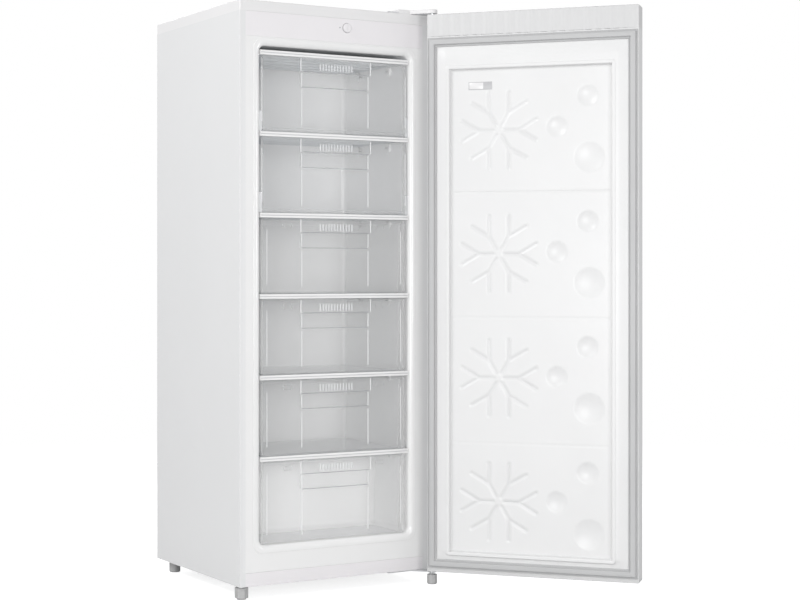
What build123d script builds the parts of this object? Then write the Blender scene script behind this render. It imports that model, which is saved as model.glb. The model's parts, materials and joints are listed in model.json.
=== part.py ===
"""Upright freezer with a right-hung door, six storage levels and a wire condenser in the rear recess.

Millimetres. While modelling, X runs across the cabinet from its centre plane, Y runs backwards from the
plane of the front flange and Z runs up from the floor. The door is modelled shut and turned open on its
pins when it is written. Every piece is then moved so that the origin lies on the floor, under the middle
of the whole freezer with its door open.
"""

import os
from math import cos, radians, sin, tan

from build123d import *

os.makedirs("parts", exist_ok=True)

# ---------------------------------------------------------------- cabinet
cabinet_width = 550.0
cabinet_depth = 510.0  # front flange to the rear edges of the side panels
cabinet_height = 1490.0  # floor to worktop
foot_height = 34.0
worktop_height = 27.0
worktop_wall = 3.5
worktop_corner = 3.0
worktop_round = 2.5
screw_boss_wall = 2.5
screw_boss_height = 18.0  # top of the worktop to the lower end of a screw boss
control_panel_height = 62.0
control_panel_depth = 20.0
control_box_depth = 60.0  # room left in the foam for the thermostat
plinth_height = 34.0
plinth_depth = 14.0
panel_round = 1.0  # front edges of the control panel and the plinth
sheet = 0.8  # steel sheet of the panels
bend_round = 0.64
side_flange = 16.0  # side panel's return on the front face
rear_flange = 12.0
back_recess = 80.0  # rear edges of the side panels to the back panel
niche_depth = 265.0  # compressor niche, from the rear edges forward
niche_height = 246.0
plastic_wall = 2.5
fit = 0.3  # gap between fitted pieces

# ---------------------------------------------------------------- storage space
side_wall = 57.0  # outer face of a side panel to the storage space
rear_wall = 92.0  # storage space to the back panel
step_wall = 60.0  # lowest compartment to the compressor niche behind it
step_floor = 55.0  # top of the niche to the floor of the step
floor_wall = 99.0  # bottom panel to the floor of the storage space
mouth_drop = 22.0  # control panel to the top of the storage space
corner_radius = 16.0
back_radius = 14.0
step_overlap = 40.0  # height over which the lowest compartment runs into the space above
liner_wall = 2.0
lip_width = 19.0
lip_proud = 1.5
lip_round = 1.2
lip_depth = 16.0
mouth_radius = 13.0
lip_corner = 25.0

# ---------------------------------------------------------------- shelves
shelf_count = 6
first_shelf_drop = 10.0  # top of the storage space to the top of the uppermost trim
last_shelf_rise = 18.0  # floor of the step to the top of the lowest trim
shelf_plate = 1.5
shelf_rim = 8.0
shelf_side_gap = 3.5
shelf_rear_gap = 22.0
trim_height = 12.0
trim_depth = 15.0
trim_front = 3.0
trim_side_gap = 1.5
trim_round = 1.5
groove_half = 1.5  # groove along the trim's front
groove_depth = 1.2
seat_gap = 0.1
clip_diameter = 25.0
clip_height = 6.0
front_clip_inset = 93.5  # plate's front edge to the front clip
rear_clip_inset = 54.0  # plate's rear edge to the rear clip
tube_width = 6.0  # evaporator tube across its flats
tube_flats = 4
tube_passes = 3  # there and back
tube_side_margin = 14.0
tube_rear_margin = 16.0
tube_bend_share = 0.98  # of half the spacing of the passes

# ---------------------------------------------------------------- flaps and drawers
flap_count = 2
flap_low_gap = 3.0  # trim to the lower edge of a flap
front_high_gap = 2.0  # upper edge of a front to the trim above
front_side_gap = 9.0  # wall of the storage space to the side of a front
front_wall = 3.0
front_rim = 9.0
front_face = 7.0  # depth of the front surface behind the front flange
front_corner = 4.0
front_inner_corner = 2.0
front_round = 1.5
grip_width = 204.0
grip_height = 35.0
grip_proud = 5.0
grip_corner = 3.0
recess_height = 38.0
recess_depth = 5.0
recess_outer_inset = 3.0  # grip's side to the outside of the recess
recess_inset = 5.0  # grip's side to the recess and the middle panel
recess_wall = 2.0
panel_low_gap = 14.0  # lower edge of a front to the middle panel
panel_high_gap = 4.0  # recess to the middle panel
panel_relief = 1.35
rib_count = 24
rib_pitch = 4.2
rib_height = 17.5
rib_drop = 21.0  # upper edge of a front to the middle of the ribs
rib_relief = 0.8
tray_wall = 2.0
tray_draft = 2.0  # degrees
tray_clearance = 0.3
tray_side_gap = 3.0
tray_corner = 10.0
tray_round = 4.0
front_clearance = 1.5
tray_drop = 8.0  # top of the front to the tray's rim
lug_width = 24.0
lug_height = 10.0
lug_spacing = 270.0
drawer_rear_gap = 16.0
pivot_width = 8.0
pivot_height = 50.0
pivot_diameter = 6.0
pivot_low_wall = 2.0  # under a flap's lower edge
pivot_end_wall = 1.6  # behind the blind end of a pivot hole
pivot_end_gap = 1.4

# ---------------------------------------------------------------- door
door_thickness = 65.0
door_gap = 9.5  # front flange to the door's inner plane
door_lift = 1.2  # cabinet's underside to the door's lower end
door_drop = 5.0  # worktop to the door's upper end
door_edge_radius = 10.0
top_cap_height = 59.0
top_cap_wall = 3.5
top_cap_round = 2.0
bottom_cap_height = 8.0
bottom_cap_round = 1.5
skin_return = 12.0
door_open_angle = 131.3
hinge_inset = 6.5  # pin to the door's side edge
hinge_setback = 22.3  # pin to the door's inner plane
pin_diameter = 7.0
pin_length = 20.0
pin_head_rim = 2.0
pin_head_height = 1.5
bush_wall = 1.5
bush_length = 22.0
bush_fit = 0.02
bush_flange = 1.0
bush_flange_gap = 0.1
bush_boss_wall = 8.0
running_fit = 0.05  # radial
gasket_width = 24.0
gasket_inset = 2.0
gasket_low_inset = 10.8
gasket_high_inset = 62.0
gasket_gap = 0.5
gasket_round = 3.5
flute_pitch = 22.9
flute_radius = 14.0
flute_depth = 3.0
flute_margin = 12.0
door_liner_wall = 2.0
door_liner_edge = 0.5
ridge_width = 13.0
ridge_proud = 7.0
ridge_corner = 10.0
ridge_round = 4.0
ridge_hinge_inset = 50.0
ridge_free_inset = 56.0
ridge_low_inset = 44.8
ridge_high_inset = 135.0
field_corner = 6.0
field_round = 3.0
well_depth = 4.0  # field inside the ridge, below the liner's plane
cell_count = 4
divider_low = 293.0  # foot of the ridge to the lowest divider
divider_high = 330.0  # head of the ridge to the uppermost divider
divider_width = 3.0
divider_depth = 1.2
divider_margin = 2.0
flake_from_hinge = 190.0
flake_low = 144.0  # foot of the ridge to the lowest snowflake
flake_high = 171.1  # head of the ridge to the uppermost snowflake
flake_arms = 6
flake_hub = 14.0
flake_stem = 50.0
flake_fork = 55.0
flake_fork_angle = 30.0
flake_groove = 10.0
flake_depth = 2.5
dimple_depth = 3.6
dimples = ((130.0, 83.0, 27.0), (209.0, 6.0, 27.0), (126.0, -73.0, 39.0))  # free edge, up, radius

# ---------------------------------------------------------------- hinges, feet, controls
bracket_thickness = 3.0
bracket_inner = 110.0  # pin to the inner end of a bracket
bracket_rear = 62.0  # front flange to the rear end of a bracket
bracket_round = 12.0
bracket_setback = 4.0  # front flange to the plate's front edge
bracket_neck = 46.0  # pin to where the plate widens
cover_height = 10.0
cover_reach = 80.0  # pin to the cover's inner end
cover_wall = 1.5
cover_round = 1.2
screw_diameter = 4.0
screw_head = 8.0
screw_head_height = 2.0
screw_length = 9.0
lower_screw_places = ((40.0, 30.0), (80.0, 30.0), (60.0, 50.0))  # from the pin, from the front flange
upper_screw_places = ((30.0, 30.0), (60.0, 30.0))
nut_height = 5.0
nut_wall = 3.5
foot_diameter = 26.0
foot_top_gap = 1.0
foot_chamfer = 2.0
foot_facets = 12
stud_diameter = 8.0
stud_fit = 0.1  # radial
stud_room = 1.0
left_foot_inset = 18.0  # side panel's outer face to the left foot
left_foot_setback = 27.0
left_foot_width = 34.0
left_foot_gap = 4.0  # block to the cabinet's underside
left_foot_pad = 4.0
left_foot_pad_diameter = 22.6
left_foot_stud = 26.0
rear_foot_side = 35.0  # side panel's outer face to a rear foot
rear_foot_inset = 40.0
rear_foot_diameter = 30.0
knob_x = 30.0
knob_rise = 38.0  # foot of the control panel to the knob
knob_diameter = 23.0
knob_proud = 5.0
knob_chamfer = 1.5
pointer_width = 1.6
pointer_length = 14.3
pointer_depth = 1.0
shaft_diameter = 6.0
shaft_room = 0.5
shaft_reach = 6.0  # length inside the thermostat's box
shaft_end_gap = 2.0
thermostat_width = 44.0
thermostat_depth = 36.0
thermostat_height = 34.0
thermostat_round = 2.0
thermostat_neck = 8.0
thermostat_neck_wall = 3.0

# ---------------------------------------------------------------- cooling circuit
rail_front_gap = 45.0  # niche's front wall to the rail
rail_rear_gap = 20.0
rail_height = 12.0
rail_sheet = 1.5
compressor_x = 50.0
compressor_inset = 120.0  # rear edges of the side panels to the compressor
compressor_radius = 72.0
compressor_height = 150.0
plate_width = 190.0
plate_depth = 120.0
plate_thickness = 2.5
plate_corner = 20.0
weld_up = 66.0  # foot plate to the weld flange between the two shells
weld_width = 5.0
weld_half = 3.0
crown_round = 34.0
base_round = 16.0
grommet_diameter = 20.0
grommet_height = 12.0
grommet_spacing = (160.0, 90.0)
relay_reach = 44.0
relay_width = 40.0
relay_height = 42.0
relay_round = 3.0
relay_wrap = 20.0  # degrees of the shell on each side of the box's middle
condenser_inset = 40.0
condenser_rise = 50.0  # niche's ceiling to the lowest pass
condenser_side_gap = 50.0  # side panel's outer face to the end of a pass
condenser_high_gap = 40.0
condenser_pitch = 76.0
condenser_bend = 30.0
wire_count = 14
wire_width = 1.8
wire_side_margin = 45.0
wire_overhang = 12.0
standoff_width = 14.0
standoff_height = 22.0
standoff_inset = 70.0  # end of a pass to a standoff
pipe_diameter = 6.0
pipe_flats = 6
pipe_bend = 10.0
drier_inset = 85.0  # end of a pass to the drier
drier_rise = 90.0
drier_radius = 9.0
drier_length = 90.0
drier_cone = 12.0
drier_loop = 40.0  # drier to the pass of the pipe above it
suction_side = 120.0  # compressor's axis to the pipe's drop
suction_rise = 24.0  # weld flange to the suction pipe

# ---------------------------------------------------------------- places worked out from the sizes
half_width = cabinet_width / 2
body_bottom = foot_height
worktop_bottom = cabinet_height - worktop_height
panel_bottom = worktop_bottom - control_panel_height
plinth_top = foot_height + plinth_height
flange_inner = half_width - side_flange
inner_half = half_width - sheet
back_y = cabinet_depth - back_recess
niche_front = cabinet_depth - niche_depth
niche_top = body_bottom + niche_height
space_half = half_width - side_wall
space_depth = back_y - rear_wall
step_depth = niche_front - step_wall
step_top = niche_top + step_floor
space_bottom = body_bottom + floor_wall
space_top = panel_bottom - mouth_drop
first_shelf = space_top - first_shelf_drop
last_shelf = step_top + last_shelf_rise
shelf_pitch = (first_shelf - last_shelf) / (shelf_count - 1)
shelf_tops = [first_shelf - shelf_pitch * i for i in range(shelf_count)]
levels = shelf_tops + [space_bottom]
plate_half = space_half - shelf_side_gap
plate_front = trim_front + trim_depth / 2
plate_rear = space_depth - shelf_rear_gap
front_half = space_half - front_side_gap
front_rear = front_face + front_rim
door_bottom = body_bottom + door_lift
door_top = cabinet_height - door_drop
door_inner = -door_gap
door_outer = door_inner - door_thickness
door_liner_low = door_bottom + bottom_cap_height
door_liner_high = door_top - top_cap_height
hinge_x = half_width - hinge_inset
hinge_y = door_inner - hinge_setback
hinge_axis = Axis((hinge_x, hinge_y, 0), (0, 0, 1))
bush_radius = pin_diameter / 2 + running_fit + bush_wall
lower_screws = [(hinge_x - x, y) for x, y in lower_screw_places]
upper_screws = [(hinge_x - x, y) for x, y in upper_screw_places]
left_foot_x = left_foot_inset - half_width
left_foot_y = left_foot_setback
knob_z = panel_bottom + knob_rise
rail_top = body_bottom + rail_height
compressor_y = cabinet_depth - compressor_inset
condenser_y = cabinet_depth - condenser_inset
condenser_bottom = niche_top + condenser_rise
condenser_half = half_width - condenser_side_gap

finished = {}


def finish(part, name, on_door=False):
    """Label a finished piece and keep it; a piece of the door is turned open about the hinge pins."""
    if on_door:
        part = part.rotate(hinge_axis, door_open_angle)
    part.label = name
    finished[name] = part


def front_plane(y):
    """Upright plane at depth y: local x is X, local y is Z and a negative extrusion runs backwards."""
    return Plane.XZ.offset(-y)


def frame_rectangle(x0, x1, z0, z1, radius=0, mode=Mode.ADD):
    """Rectangle between its limits, in the sketch that is open."""
    with Locations(((x0 + x1) / 2, (z0 + z1) / 2)):
        if radius:
            RectangleRounded(x1 - x0, z1 - z0, radius, mode=mode)
        else:
            Rectangle(x1 - x0, z1 - z0, mode=mode)


def block(x, y, z, mode=Mode.ADD):
    """Box between pairs of limits, in the part that is open."""
    with Locations(((x[0] + x[1]) / 2, (y[0] + y[1]) / 2, (z[0] + z[1]) / 2)):
        Box(x[1] - x[0], y[1] - y[0], z[1] - z[0], mode=mode)


def storage_space(grow, front):
    """Solid of the storage space from depth front, grown on every other side."""
    with BuildPart() as upper:
        with BuildSketch(front_plane(front)):
            frame_rectangle(-space_half - grow, space_half + grow, step_top - grow, space_top + grow)
        extrude(amount=front - space_depth - grow)
        fillet(upper.edges().filter_by(Axis.Y).group_by(Axis.Z)[-1], corner_radius + grow)
        fillet(upper.faces().sort_by(Axis.Y)[-1].edges(), back_radius + grow)
    with BuildPart() as lower:
        with BuildSketch(front_plane(front)):
            top = step_top + step_overlap + grow
            frame_rectangle(-space_half - grow, space_half + grow, space_bottom - grow, top)
        extrude(amount=front - step_depth - grow)
        fillet(lower.edges().filter_by(Axis.Y).group_by(Axis.Z)[0], corner_radius + grow)
        rear_edges = lower.faces().sort_by(Axis.Y)[-1].edges().sort_by(Axis.Z)[:-1]
        fillet(rear_edges, back_radius + grow)
        add(upper.part)
    return lower.part


# ================================================================ cabinet shell
def side_panel(side):
    """Folded side sheet with a return on the front face and one at the rear; side is -1 or 1."""
    with BuildPart() as panel:
        with BuildSketch(Plane.XY.offset(body_bottom)) as profile:
            with BuildLine():
                Polyline(
                    (side * half_width, 0),
                    (side * flange_inner, 0),
                    (side * flange_inner, sheet),
                    (side * inner_half, sheet),
                    (side * inner_half, cabinet_depth - sheet),
                    (side * (half_width - rear_flange), cabinet_depth - sheet),
                    (side * (half_width - rear_flange), cabinet_depth),
                    (side * half_width, cabinet_depth),
                    close=True,
                )
            make_face()
            outer = profile.vertices().group_by(Axis.X)[0 if side < 0 else -1]
            fillet(outer, bend_round)
        extrude(amount=worktop_bottom - body_bottom)
    return panel.part


finish(side_panel(-1), "left_side_panel")
finish(side_panel(1), "right_side_panel")

with BuildPart() as back_panel:
    block((-inner_half, inner_half), (back_y, back_y + sheet), (niche_top, worktop_bottom))
finish(back_panel.part, "back_panel")

# one bent sheet: floor, front wall and ceiling of the compressor niche
floor_front = plinth_depth + fit
apron_top = plinth_top - 2 * plastic_wall
with BuildPart() as bottom_panel:
    with BuildSketch(Plane.YZ):
        with BuildLine():
            Polyline(
                (floor_front, apron_top),
                (floor_front, body_bottom),
                (niche_front + sheet, body_bottom),
                (niche_front + sheet, niche_top - sheet),
                (back_y, niche_top - sheet),
                (back_y, niche_top),
                (niche_front, niche_top),
                (niche_front, body_bottom + sheet),
                (floor_front + sheet, body_bottom + sheet),
                (floor_front + sheet, apron_top),
                close=True,
            )
        make_face()
    extrude(amount=inner_half, both=True)
    with Locations((left_foot_x, left_foot_y, body_bottom)):
        Cylinder(stud_diameter / 2 + stud_fit, 4 * sheet, mode=Mode.SUBTRACT)
    with BuildSketch(Plane.XY.offset(body_bottom)):
        with Locations(*lower_screws):
            Circle(screw_diameter / 2 + running_fit)
    extrude(amount=sheet, mode=Mode.SUBTRACT)
finish(bottom_panel.part, "bottom_panel")

with BuildPart() as plinth:
    block((-flange_inner, flange_inner), (0, plinth_depth), (body_bottom, plinth_top - fit))
    fillet(plinth.edges().filter_by(Axis.X).group_by(Axis.Y)[0], panel_round)
    block(
        (-flange_inner + plastic_wall, flange_inner - plastic_wall),
        (plastic_wall, plinth_depth),
        (body_bottom + plastic_wall, plinth_top - fit - plastic_wall),
        mode=Mode.SUBTRACT,
    )
finish(plinth.part, "plinth")

# ================================================================ liner and insulation
with BuildPart() as inner_liner:
    with BuildSketch(front_plane(0)):
        frame_rectangle(-flange_inner, flange_inner, plinth_top, panel_bottom)
    extrude(amount=-liner_wall)
    with BuildSketch(front_plane(-lip_proud)):
        frame_rectangle(
            -space_half - lip_width,
            space_half + lip_width,
            space_bottom - lip_width,
            space_top + lip_width,
            lip_corner,
        )
    extrude(amount=-(lip_proud + lip_depth))
    fillet(inner_liner.faces().sort_by(Axis.Y)[0].edges(), lip_round)
    add(storage_space(liner_wall, 0))
    add(storage_space(0, -2 * lip_proud), mode=Mode.SUBTRACT)
    mouth = inner_liner.faces().sort_by(Axis.Y)[0].inner_wires()[0]
    fillet(mouth.edges(), mouth_radius)
finish(inner_liner.part, "inner_liner")

with BuildPart() as insulation:
    with BuildSketch(Plane.YZ):
        with BuildLine():
            Polyline(
                (liner_wall, plinth_top),
                (liner_wall, panel_bottom),
                (control_box_depth, panel_bottom),
                (control_box_depth, worktop_bottom),
                (back_y, worktop_bottom),
                (back_y, niche_top),
                (niche_front, niche_top),
                (niche_front, body_bottom + sheet),
                (floor_front + sheet, body_bottom + sheet),
                (floor_front + sheet, plinth_top),
                close=True,
            )
        make_face()
    extrude(amount=inner_half, both=True)
    with BuildSketch(front_plane(0)):
        frame_rectangle(
            -space_half - lip_width - fit,
            space_half + lip_width + fit,
            space_bottom - lip_width - fit,
            space_top + lip_width + fit,
            lip_corner + fit,
        )
    extrude(amount=-(lip_depth + fit), mode=Mode.SUBTRACT)
    # the hollow for the liner is square in its corners, where the liner is round
    room = liner_wall + fit
    hollow = (-space_half - room, space_half + room)
    block(hollow, (0, space_depth + room), (step_top - room, space_top + room), mode=Mode.SUBTRACT)
    block(hollow, (0, step_depth + room), (space_bottom - room, step_top), mode=Mode.SUBTRACT)
    with BuildSketch(Plane.XY.offset(body_bottom + sheet)):
        with Locations((left_foot_x, left_foot_y)):
            Circle(stud_diameter / 2 + stud_room)
    extrude(amount=left_foot_stud, mode=Mode.SUBTRACT)
    with BuildSketch(Plane.XY.offset(body_bottom + sheet)):
        with Locations(*lower_screws):
            Circle(screw_diameter / 2 + running_fit)
    extrude(amount=screw_length, mode=Mode.SUBTRACT)
finish(insulation.part, "insulation")

# ================================================================ worktop and control panel
boss_bottom = cabinet_height - screw_boss_height
with BuildPart() as worktop:
    with BuildSketch(Plane.XY.offset(worktop_bottom)):
        with Locations((0, cabinet_depth / 2)):
            RectangleRounded(cabinet_width, cabinet_depth, worktop_corner)
    extrude(amount=worktop_height)
    fillet(worktop.faces().sort_by(Axis.Z)[-1].edges(), worktop_round)
    block(
        (-half_width + plastic_wall, half_width - plastic_wall),
        (plastic_wall, cabinet_depth - plastic_wall),
        (worktop_bottom, cabinet_height - worktop_wall),
        mode=Mode.SUBTRACT,
    )
    with BuildSketch(Plane.XY.offset(boss_bottom)):
        with Locations(*upper_screws):
            Circle(screw_diameter / 2 + screw_boss_wall)
    extrude(amount=screw_boss_height - worktop_wall / 2)
    with BuildSketch(Plane.XY.offset(boss_bottom)):
        with Locations(*upper_screws):
            Circle(screw_diameter / 2 + running_fit)
    extrude(amount=screw_boss_height, mode=Mode.SUBTRACT)
finish(worktop.part, "worktop")

with BuildPart() as control_panel:
    block((-flange_inner, flange_inner), (0, control_panel_depth), (panel_bottom, worktop_bottom))
    fillet(control_panel.edges().filter_by(Axis.X).group_by(Axis.Y)[0], panel_round)
    block(
        (-flange_inner + plastic_wall, flange_inner - plastic_wall),
        (plastic_wall, control_panel_depth),
        (panel_bottom + plastic_wall, worktop_bottom - plastic_wall),
        mode=Mode.SUBTRACT,
    )
    with BuildSketch(front_plane(0)):
        with Locations((knob_x, knob_z)):
            Circle(shaft_diameter / 2 + shaft_room)
    extrude(amount=-plastic_wall, mode=Mode.SUBTRACT)
finish(control_panel.part, "control_panel")

with BuildPart() as thermostat:
    with BuildSketch(front_plane(plastic_wall)):
        with Locations((knob_x, knob_z)):
            Circle(shaft_diameter / 2 + thermostat_neck_wall)
    extrude(amount=-thermostat_neck)
    with BuildSketch(front_plane(plastic_wall + thermostat_neck)):
        with Locations((knob_x, knob_z)):
            Rectangle(thermostat_width, thermostat_height)
    extrude(amount=-thermostat_depth)
    fillet(thermostat.edges().filter_by(Axis.Y).filter_by(GeomType.LINE), thermostat_round)
    with BuildSketch(front_plane(plastic_wall)):
        with Locations((knob_x, knob_z)):
            Circle(shaft_diameter / 2 + running_fit)
    extrude(amount=-thermostat_neck - shaft_reach - shaft_end_gap, mode=Mode.SUBTRACT)
finish(thermostat.part, "thermostat")

with BuildPart() as thermostat_knob:
    with BuildSketch(front_plane(-fit)):
        with Locations((knob_x, knob_z)):
            Circle(knob_diameter / 2)
    extrude(amount=knob_proud - fit)
    chamfer(thermostat_knob.faces().sort_by(Axis.Y)[0].edges(), knob_chamfer)
    with BuildSketch(front_plane(-knob_proud)):
        with Locations((knob_x, knob_z)):
            Rectangle(pointer_width, pointer_length)
    extrude(amount=-pointer_depth, mode=Mode.SUBTRACT)
    with BuildSketch(front_plane(-fit)):
        with Locations((knob_x, knob_z)):
            Circle(shaft_diameter / 2)
    extrude(amount=-(fit + plastic_wall + thermostat_neck + shaft_reach))
finish(thermostat_knob.part, "thermostat_knob")

# ================================================================ shelves
for number, top in enumerate(shelf_tops, start=1):
    with BuildPart() as shelf:
        with BuildSketch(front_plane(plate_front)):
            with BuildLine():
                Polyline(
                    (-plate_half, top - shelf_rim),
                    (-plate_half, top),
                    (plate_half, top),
                    (plate_half, top - shelf_rim),
                    (plate_half - shelf_plate, top - shelf_rim),
                    (plate_half - shelf_plate, top - shelf_plate),
                    (-plate_half + shelf_plate, top - shelf_plate),
                    (-plate_half + shelf_plate, top - shelf_rim),
                    close=True,
                )
            make_face()
        extrude(amount=plate_front - plate_rear)
        notch = trim_depth / 2 + fit
        for side in (-1, 1):
            edge = side * plate_half
            block(
                (min(edge, edge - side * 2 * shelf_plate), max(edge, edge - side * 2 * shelf_plate)),
                (plate_front, plate_front + notch),
                (top - shelf_rim, top - shelf_plate),
                mode=Mode.SUBTRACT,
            )
    finish(shelf.part, f"evaporator_shelf_{number}")

    with BuildPart() as trim:
        with BuildSketch(Plane.YZ) as profile:
            groove_z = top - trim_height / 2
            ledge = top - shelf_plate - seat_gap
            with BuildLine():
                Polyline(
                    (trim_front, top - trim_height),
                    (trim_front, groove_z - groove_half),
                    (trim_front + groove_depth, groove_z),
                    (trim_front, groove_z + groove_half),
                    (trim_front, top),
                    (plate_front - seat_gap, top),
                    (plate_front - seat_gap, ledge),
                    (trim_front + trim_depth, ledge),
                    (trim_front + trim_depth, top - trim_height),
                    close=True,
                )
            make_face()
            front_corners = profile.vertices().group_by(Axis.X)[0]
            fillet([front_corners.sort_by(Axis.Y)[0], front_corners.sort_by(Axis.Y)[-1]], trim_round)
        extrude(amount=space_half - trim_side_gap, both=True)
    finish(trim.part, f"shelf_trim_{number}")

# round slotted clips on both side walls carry the plates' rims
clip_places = (plate_front + front_clip_inset, plate_rear - rear_clip_inset)
with BuildPart() as shelf_supports:
    for top in shelf_tops:
        clip_z = top - shelf_rim - clip_diameter / 2
        for side in (-1, 1):
            with BuildSketch(Plane.YZ.offset(side * space_half)):
                with Locations(*[(y, clip_z) for y in clip_places]):
                    Circle(clip_diameter / 2)
            extrude(amount=-side * clip_height)
            if clip_z < step_top:
                block(
                    (-space_half, space_half),
                    (step_depth - back_radius, space_depth),
                    (clip_z - clip_diameter, clip_z + clip_diameter / 2),
                    mode=Mode.SUBTRACT,
                )
finish(shelf_supports.part, "shelf_supports")

# ================================================================ evaporator tube
tube_z = [top - shelf_plate - tube_width / 2 for top in shelf_tops]
tube_side = plate_half - shelf_plate - tube_side_margin
tube_front = plate_front + trim_depth + tube_side_margin
tube_rear = plate_rear - tube_rear_margin
with BuildPart() as evaporator_coil:
    for z in tube_z:
        route = []
        step = (tube_rear - tube_front) / (2 * tube_passes - 1)
        for turn in range(2 * tube_passes):
            y = tube_front + step * turn
            ends = [(-tube_side, y, z), (tube_side, y, z)]
            route += ends if turn % 2 == 0 else ends[::-1]
        with BuildLine() as path:
            FilletPolyline(*route, radius=step / 2 * tube_bend_share)
        with BuildSketch(Plane(origin=route[0], x_dir=(0, 1, 0), z_dir=(1, 0, 0))):
            RegularPolygon(tube_width / 2, tube_flats, major_radius=False, rotation=180 / tube_flats)
        sweep(path=path.line)
finish(evaporator_coil.part, "evaporator_coil")

# ================================================================ fronts, flaps and drawers
def compartment_front(low, high, hinged):
    """Clear moulded front: ribbed grip, finger recess under it, shallow middle panel, and its fixings.

    A hinged front has a pivot stub at both lower corners, and any other has two lugs that clip to a tray.
    """
    half_grip = grip_width / 2
    recess_top = high - grip_height
    recess_bottom = recess_top - recess_height
    with BuildPart() as front:
        with BuildSketch(front_plane(front_face)):
            frame_rectangle(-front_half, front_half, low, high, front_corner)
        extrude(amount=-front_rim)
        fillet(front.faces().sort_by(Axis.Y)[0].edges(), front_round)
        with BuildSketch(front_plane(front_rear)):
            frame_rectangle(
                -front_half + front_wall,
                front_half - front_wall,
                low + front_wall,
                high - front_wall,
                front_inner_corner,
            )
        extrude(amount=front_rim - front_wall, mode=Mode.SUBTRACT)
        with BuildSketch(front_plane(front_face)):
            frame_rectangle(-half_grip, half_grip, recess_top, high, grip_corner)
        extrude(amount=grip_proud)
        with BuildSketch(front_plane(front_face)):
            outer_half = half_grip - recess_outer_inset
            frame_rectangle(-outer_half, outer_half, recess_bottom, recess_top, front_corner)
        extrude(amount=-recess_depth - front_wall)
        with BuildSketch(front_plane(front_face)):
            inner_half_width = half_grip - recess_inset
            frame_rectangle(
                -inner_half_width, inner_half_width, recess_bottom + recess_wall, recess_top, grip_corner
            )
        extrude(amount=-recess_depth, mode=Mode.SUBTRACT)
        with BuildSketch(front_plane(front_face)):
            frame_rectangle(
                -inner_half_width,
                inner_half_width,
                low + panel_low_gap,
                recess_bottom - panel_high_gap,
                grip_corner,
            )
        extrude(amount=-panel_relief, mode=Mode.SUBTRACT)
        with BuildSketch(front_plane(front_face - grip_proud)):
            with Locations((0, high - rib_drop)):
                with GridLocations(rib_pitch, 1, rib_count, 1):
                    Rectangle(rib_pitch / 2, rib_height)
        extrude(amount=-rib_relief, mode=Mode.SUBTRACT)
        if hinged:
            with BuildSketch(Plane.YZ):
                with Locations((front_face + front_rim / 2, low + front_rim / 2)):
                    Circle(pivot_diameter / 2)
            extrude(amount=space_half - pivot_end_wall - pivot_end_gap, both=True)
        else:
            with BuildSketch(front_plane(front_face + front_wall)):
                with Locations((0, high - tray_drop - lug_height)):
                    with GridLocations(lug_spacing, 1, 2, 1):
                        Rectangle(lug_width, lug_height)
            extrude(amount=front_wall - front_rim)
    return front.part


flap_axes = []
for number in range(1, flap_count + 1):
    flap_low = levels[number] + flap_low_gap
    flap_high = shelf_tops[number - 1] - trim_height - front_high_gap
    flap_axes.append((front_face + front_rim / 2, flap_low + front_rim / 2))
    finish(compartment_front(flap_low, flap_high, True), f"flap_{number}")

# bearing blocks at the lower corners of the two flaps, fixed to the side walls
with BuildPart() as flap_pivots:
    for axis_y, axis_z in flap_axes:
        bottom = axis_z - front_rim / 2 - pivot_low_wall
        for side in (-1, 1):
            wall = side * space_half
            inner = side * (space_half - pivot_width)
            block(
                (min(wall, inner), max(wall, inner)),
                (front_face, front_rear),
                (bottom, bottom + pivot_height),
            )
        with BuildSketch(Plane.YZ):
            with Locations((axis_y, axis_z)):
                Circle(pivot_diameter / 2 + running_fit)
        extrude(amount=space_half - pivot_end_wall, both=True, mode=Mode.SUBTRACT)
finish(flap_pivots.part, "flap_pivots")

drawer_travel = []
for number in range(flap_count + 1, shelf_count + 1):
    low = levels[number] + tray_clearance
    high = shelf_tops[number - 1] - trim_height - front_high_gap
    rear = (space_depth if levels[number] > step_top else step_depth) - drawer_rear_gap
    drawer_travel.append(rear - front_rear)
    front_low = levels[number] + front_clearance
    finish(compartment_front(front_low, high, False), f"drawer_front_{number}")

    tray_high = high - tray_drop
    spread = (tray_high - low) * tan(radians(tray_draft))
    tray_front = front_rear + fit + spread
    tray_half = space_half - clip_height - tray_side_gap - spread
    tray_width = 2 * tray_half
    tray_depth = rear - spread - tray_front
    tray_centre = (0, (tray_front + rear - spread) / 2)
    with BuildPart() as tray:
        with BuildSketch(Plane.XY.offset(low)):
            with Locations(tray_centre):
                RectangleRounded(tray_width, tray_depth, tray_corner)
        extrude(amount=tray_high - low, taper=-tray_draft)
        fillet(tray.faces().sort_by(Axis.Z)[0].edges(), tray_round)
        with BuildSketch(Plane.XY.offset(low + tray_wall)):
            with Locations(tray_centre):
                RectangleRounded(
                    tray_width - 2 * tray_wall, tray_depth - 2 * tray_wall, tray_corner - tray_wall
                )
        extrude(amount=tray_high - low, taper=-tray_draft, mode=Mode.SUBTRACT)
    finish(tray.part, f"drawer_tray_{number}")


# ================================================================ door
def door_outline(inset, depth):
    """Plan outline of the door, set in from its outer faces and open or closed at depth."""
    half = half_width - inset
    front = door_outer + inset
    with BuildSketch() as outline:
        with Locations((0, (front + depth) / 2)):
            Rectangle(2 * half, depth - front)
        fillet(outline.vertices().group_by(Axis.Y)[0], door_edge_radius - inset)
    return outline.sketch


with BuildPart() as door_skin:
    skin_edge = door_inner - door_liner_wall
    with BuildSketch(Plane.XY.offset(door_liner_low)):
        add(door_outline(0, skin_edge))
        add(door_outline(sheet, skin_edge - sheet), mode=Mode.SUBTRACT)
        with Locations((0, skin_edge - sheet / 2)):
            Rectangle(cabinet_width - 2 * skin_return, 2 * sheet, mode=Mode.SUBTRACT)
    extrude(amount=door_liner_high - door_liner_low)
finish(door_skin.part, "door_skin", on_door=True)

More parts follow.
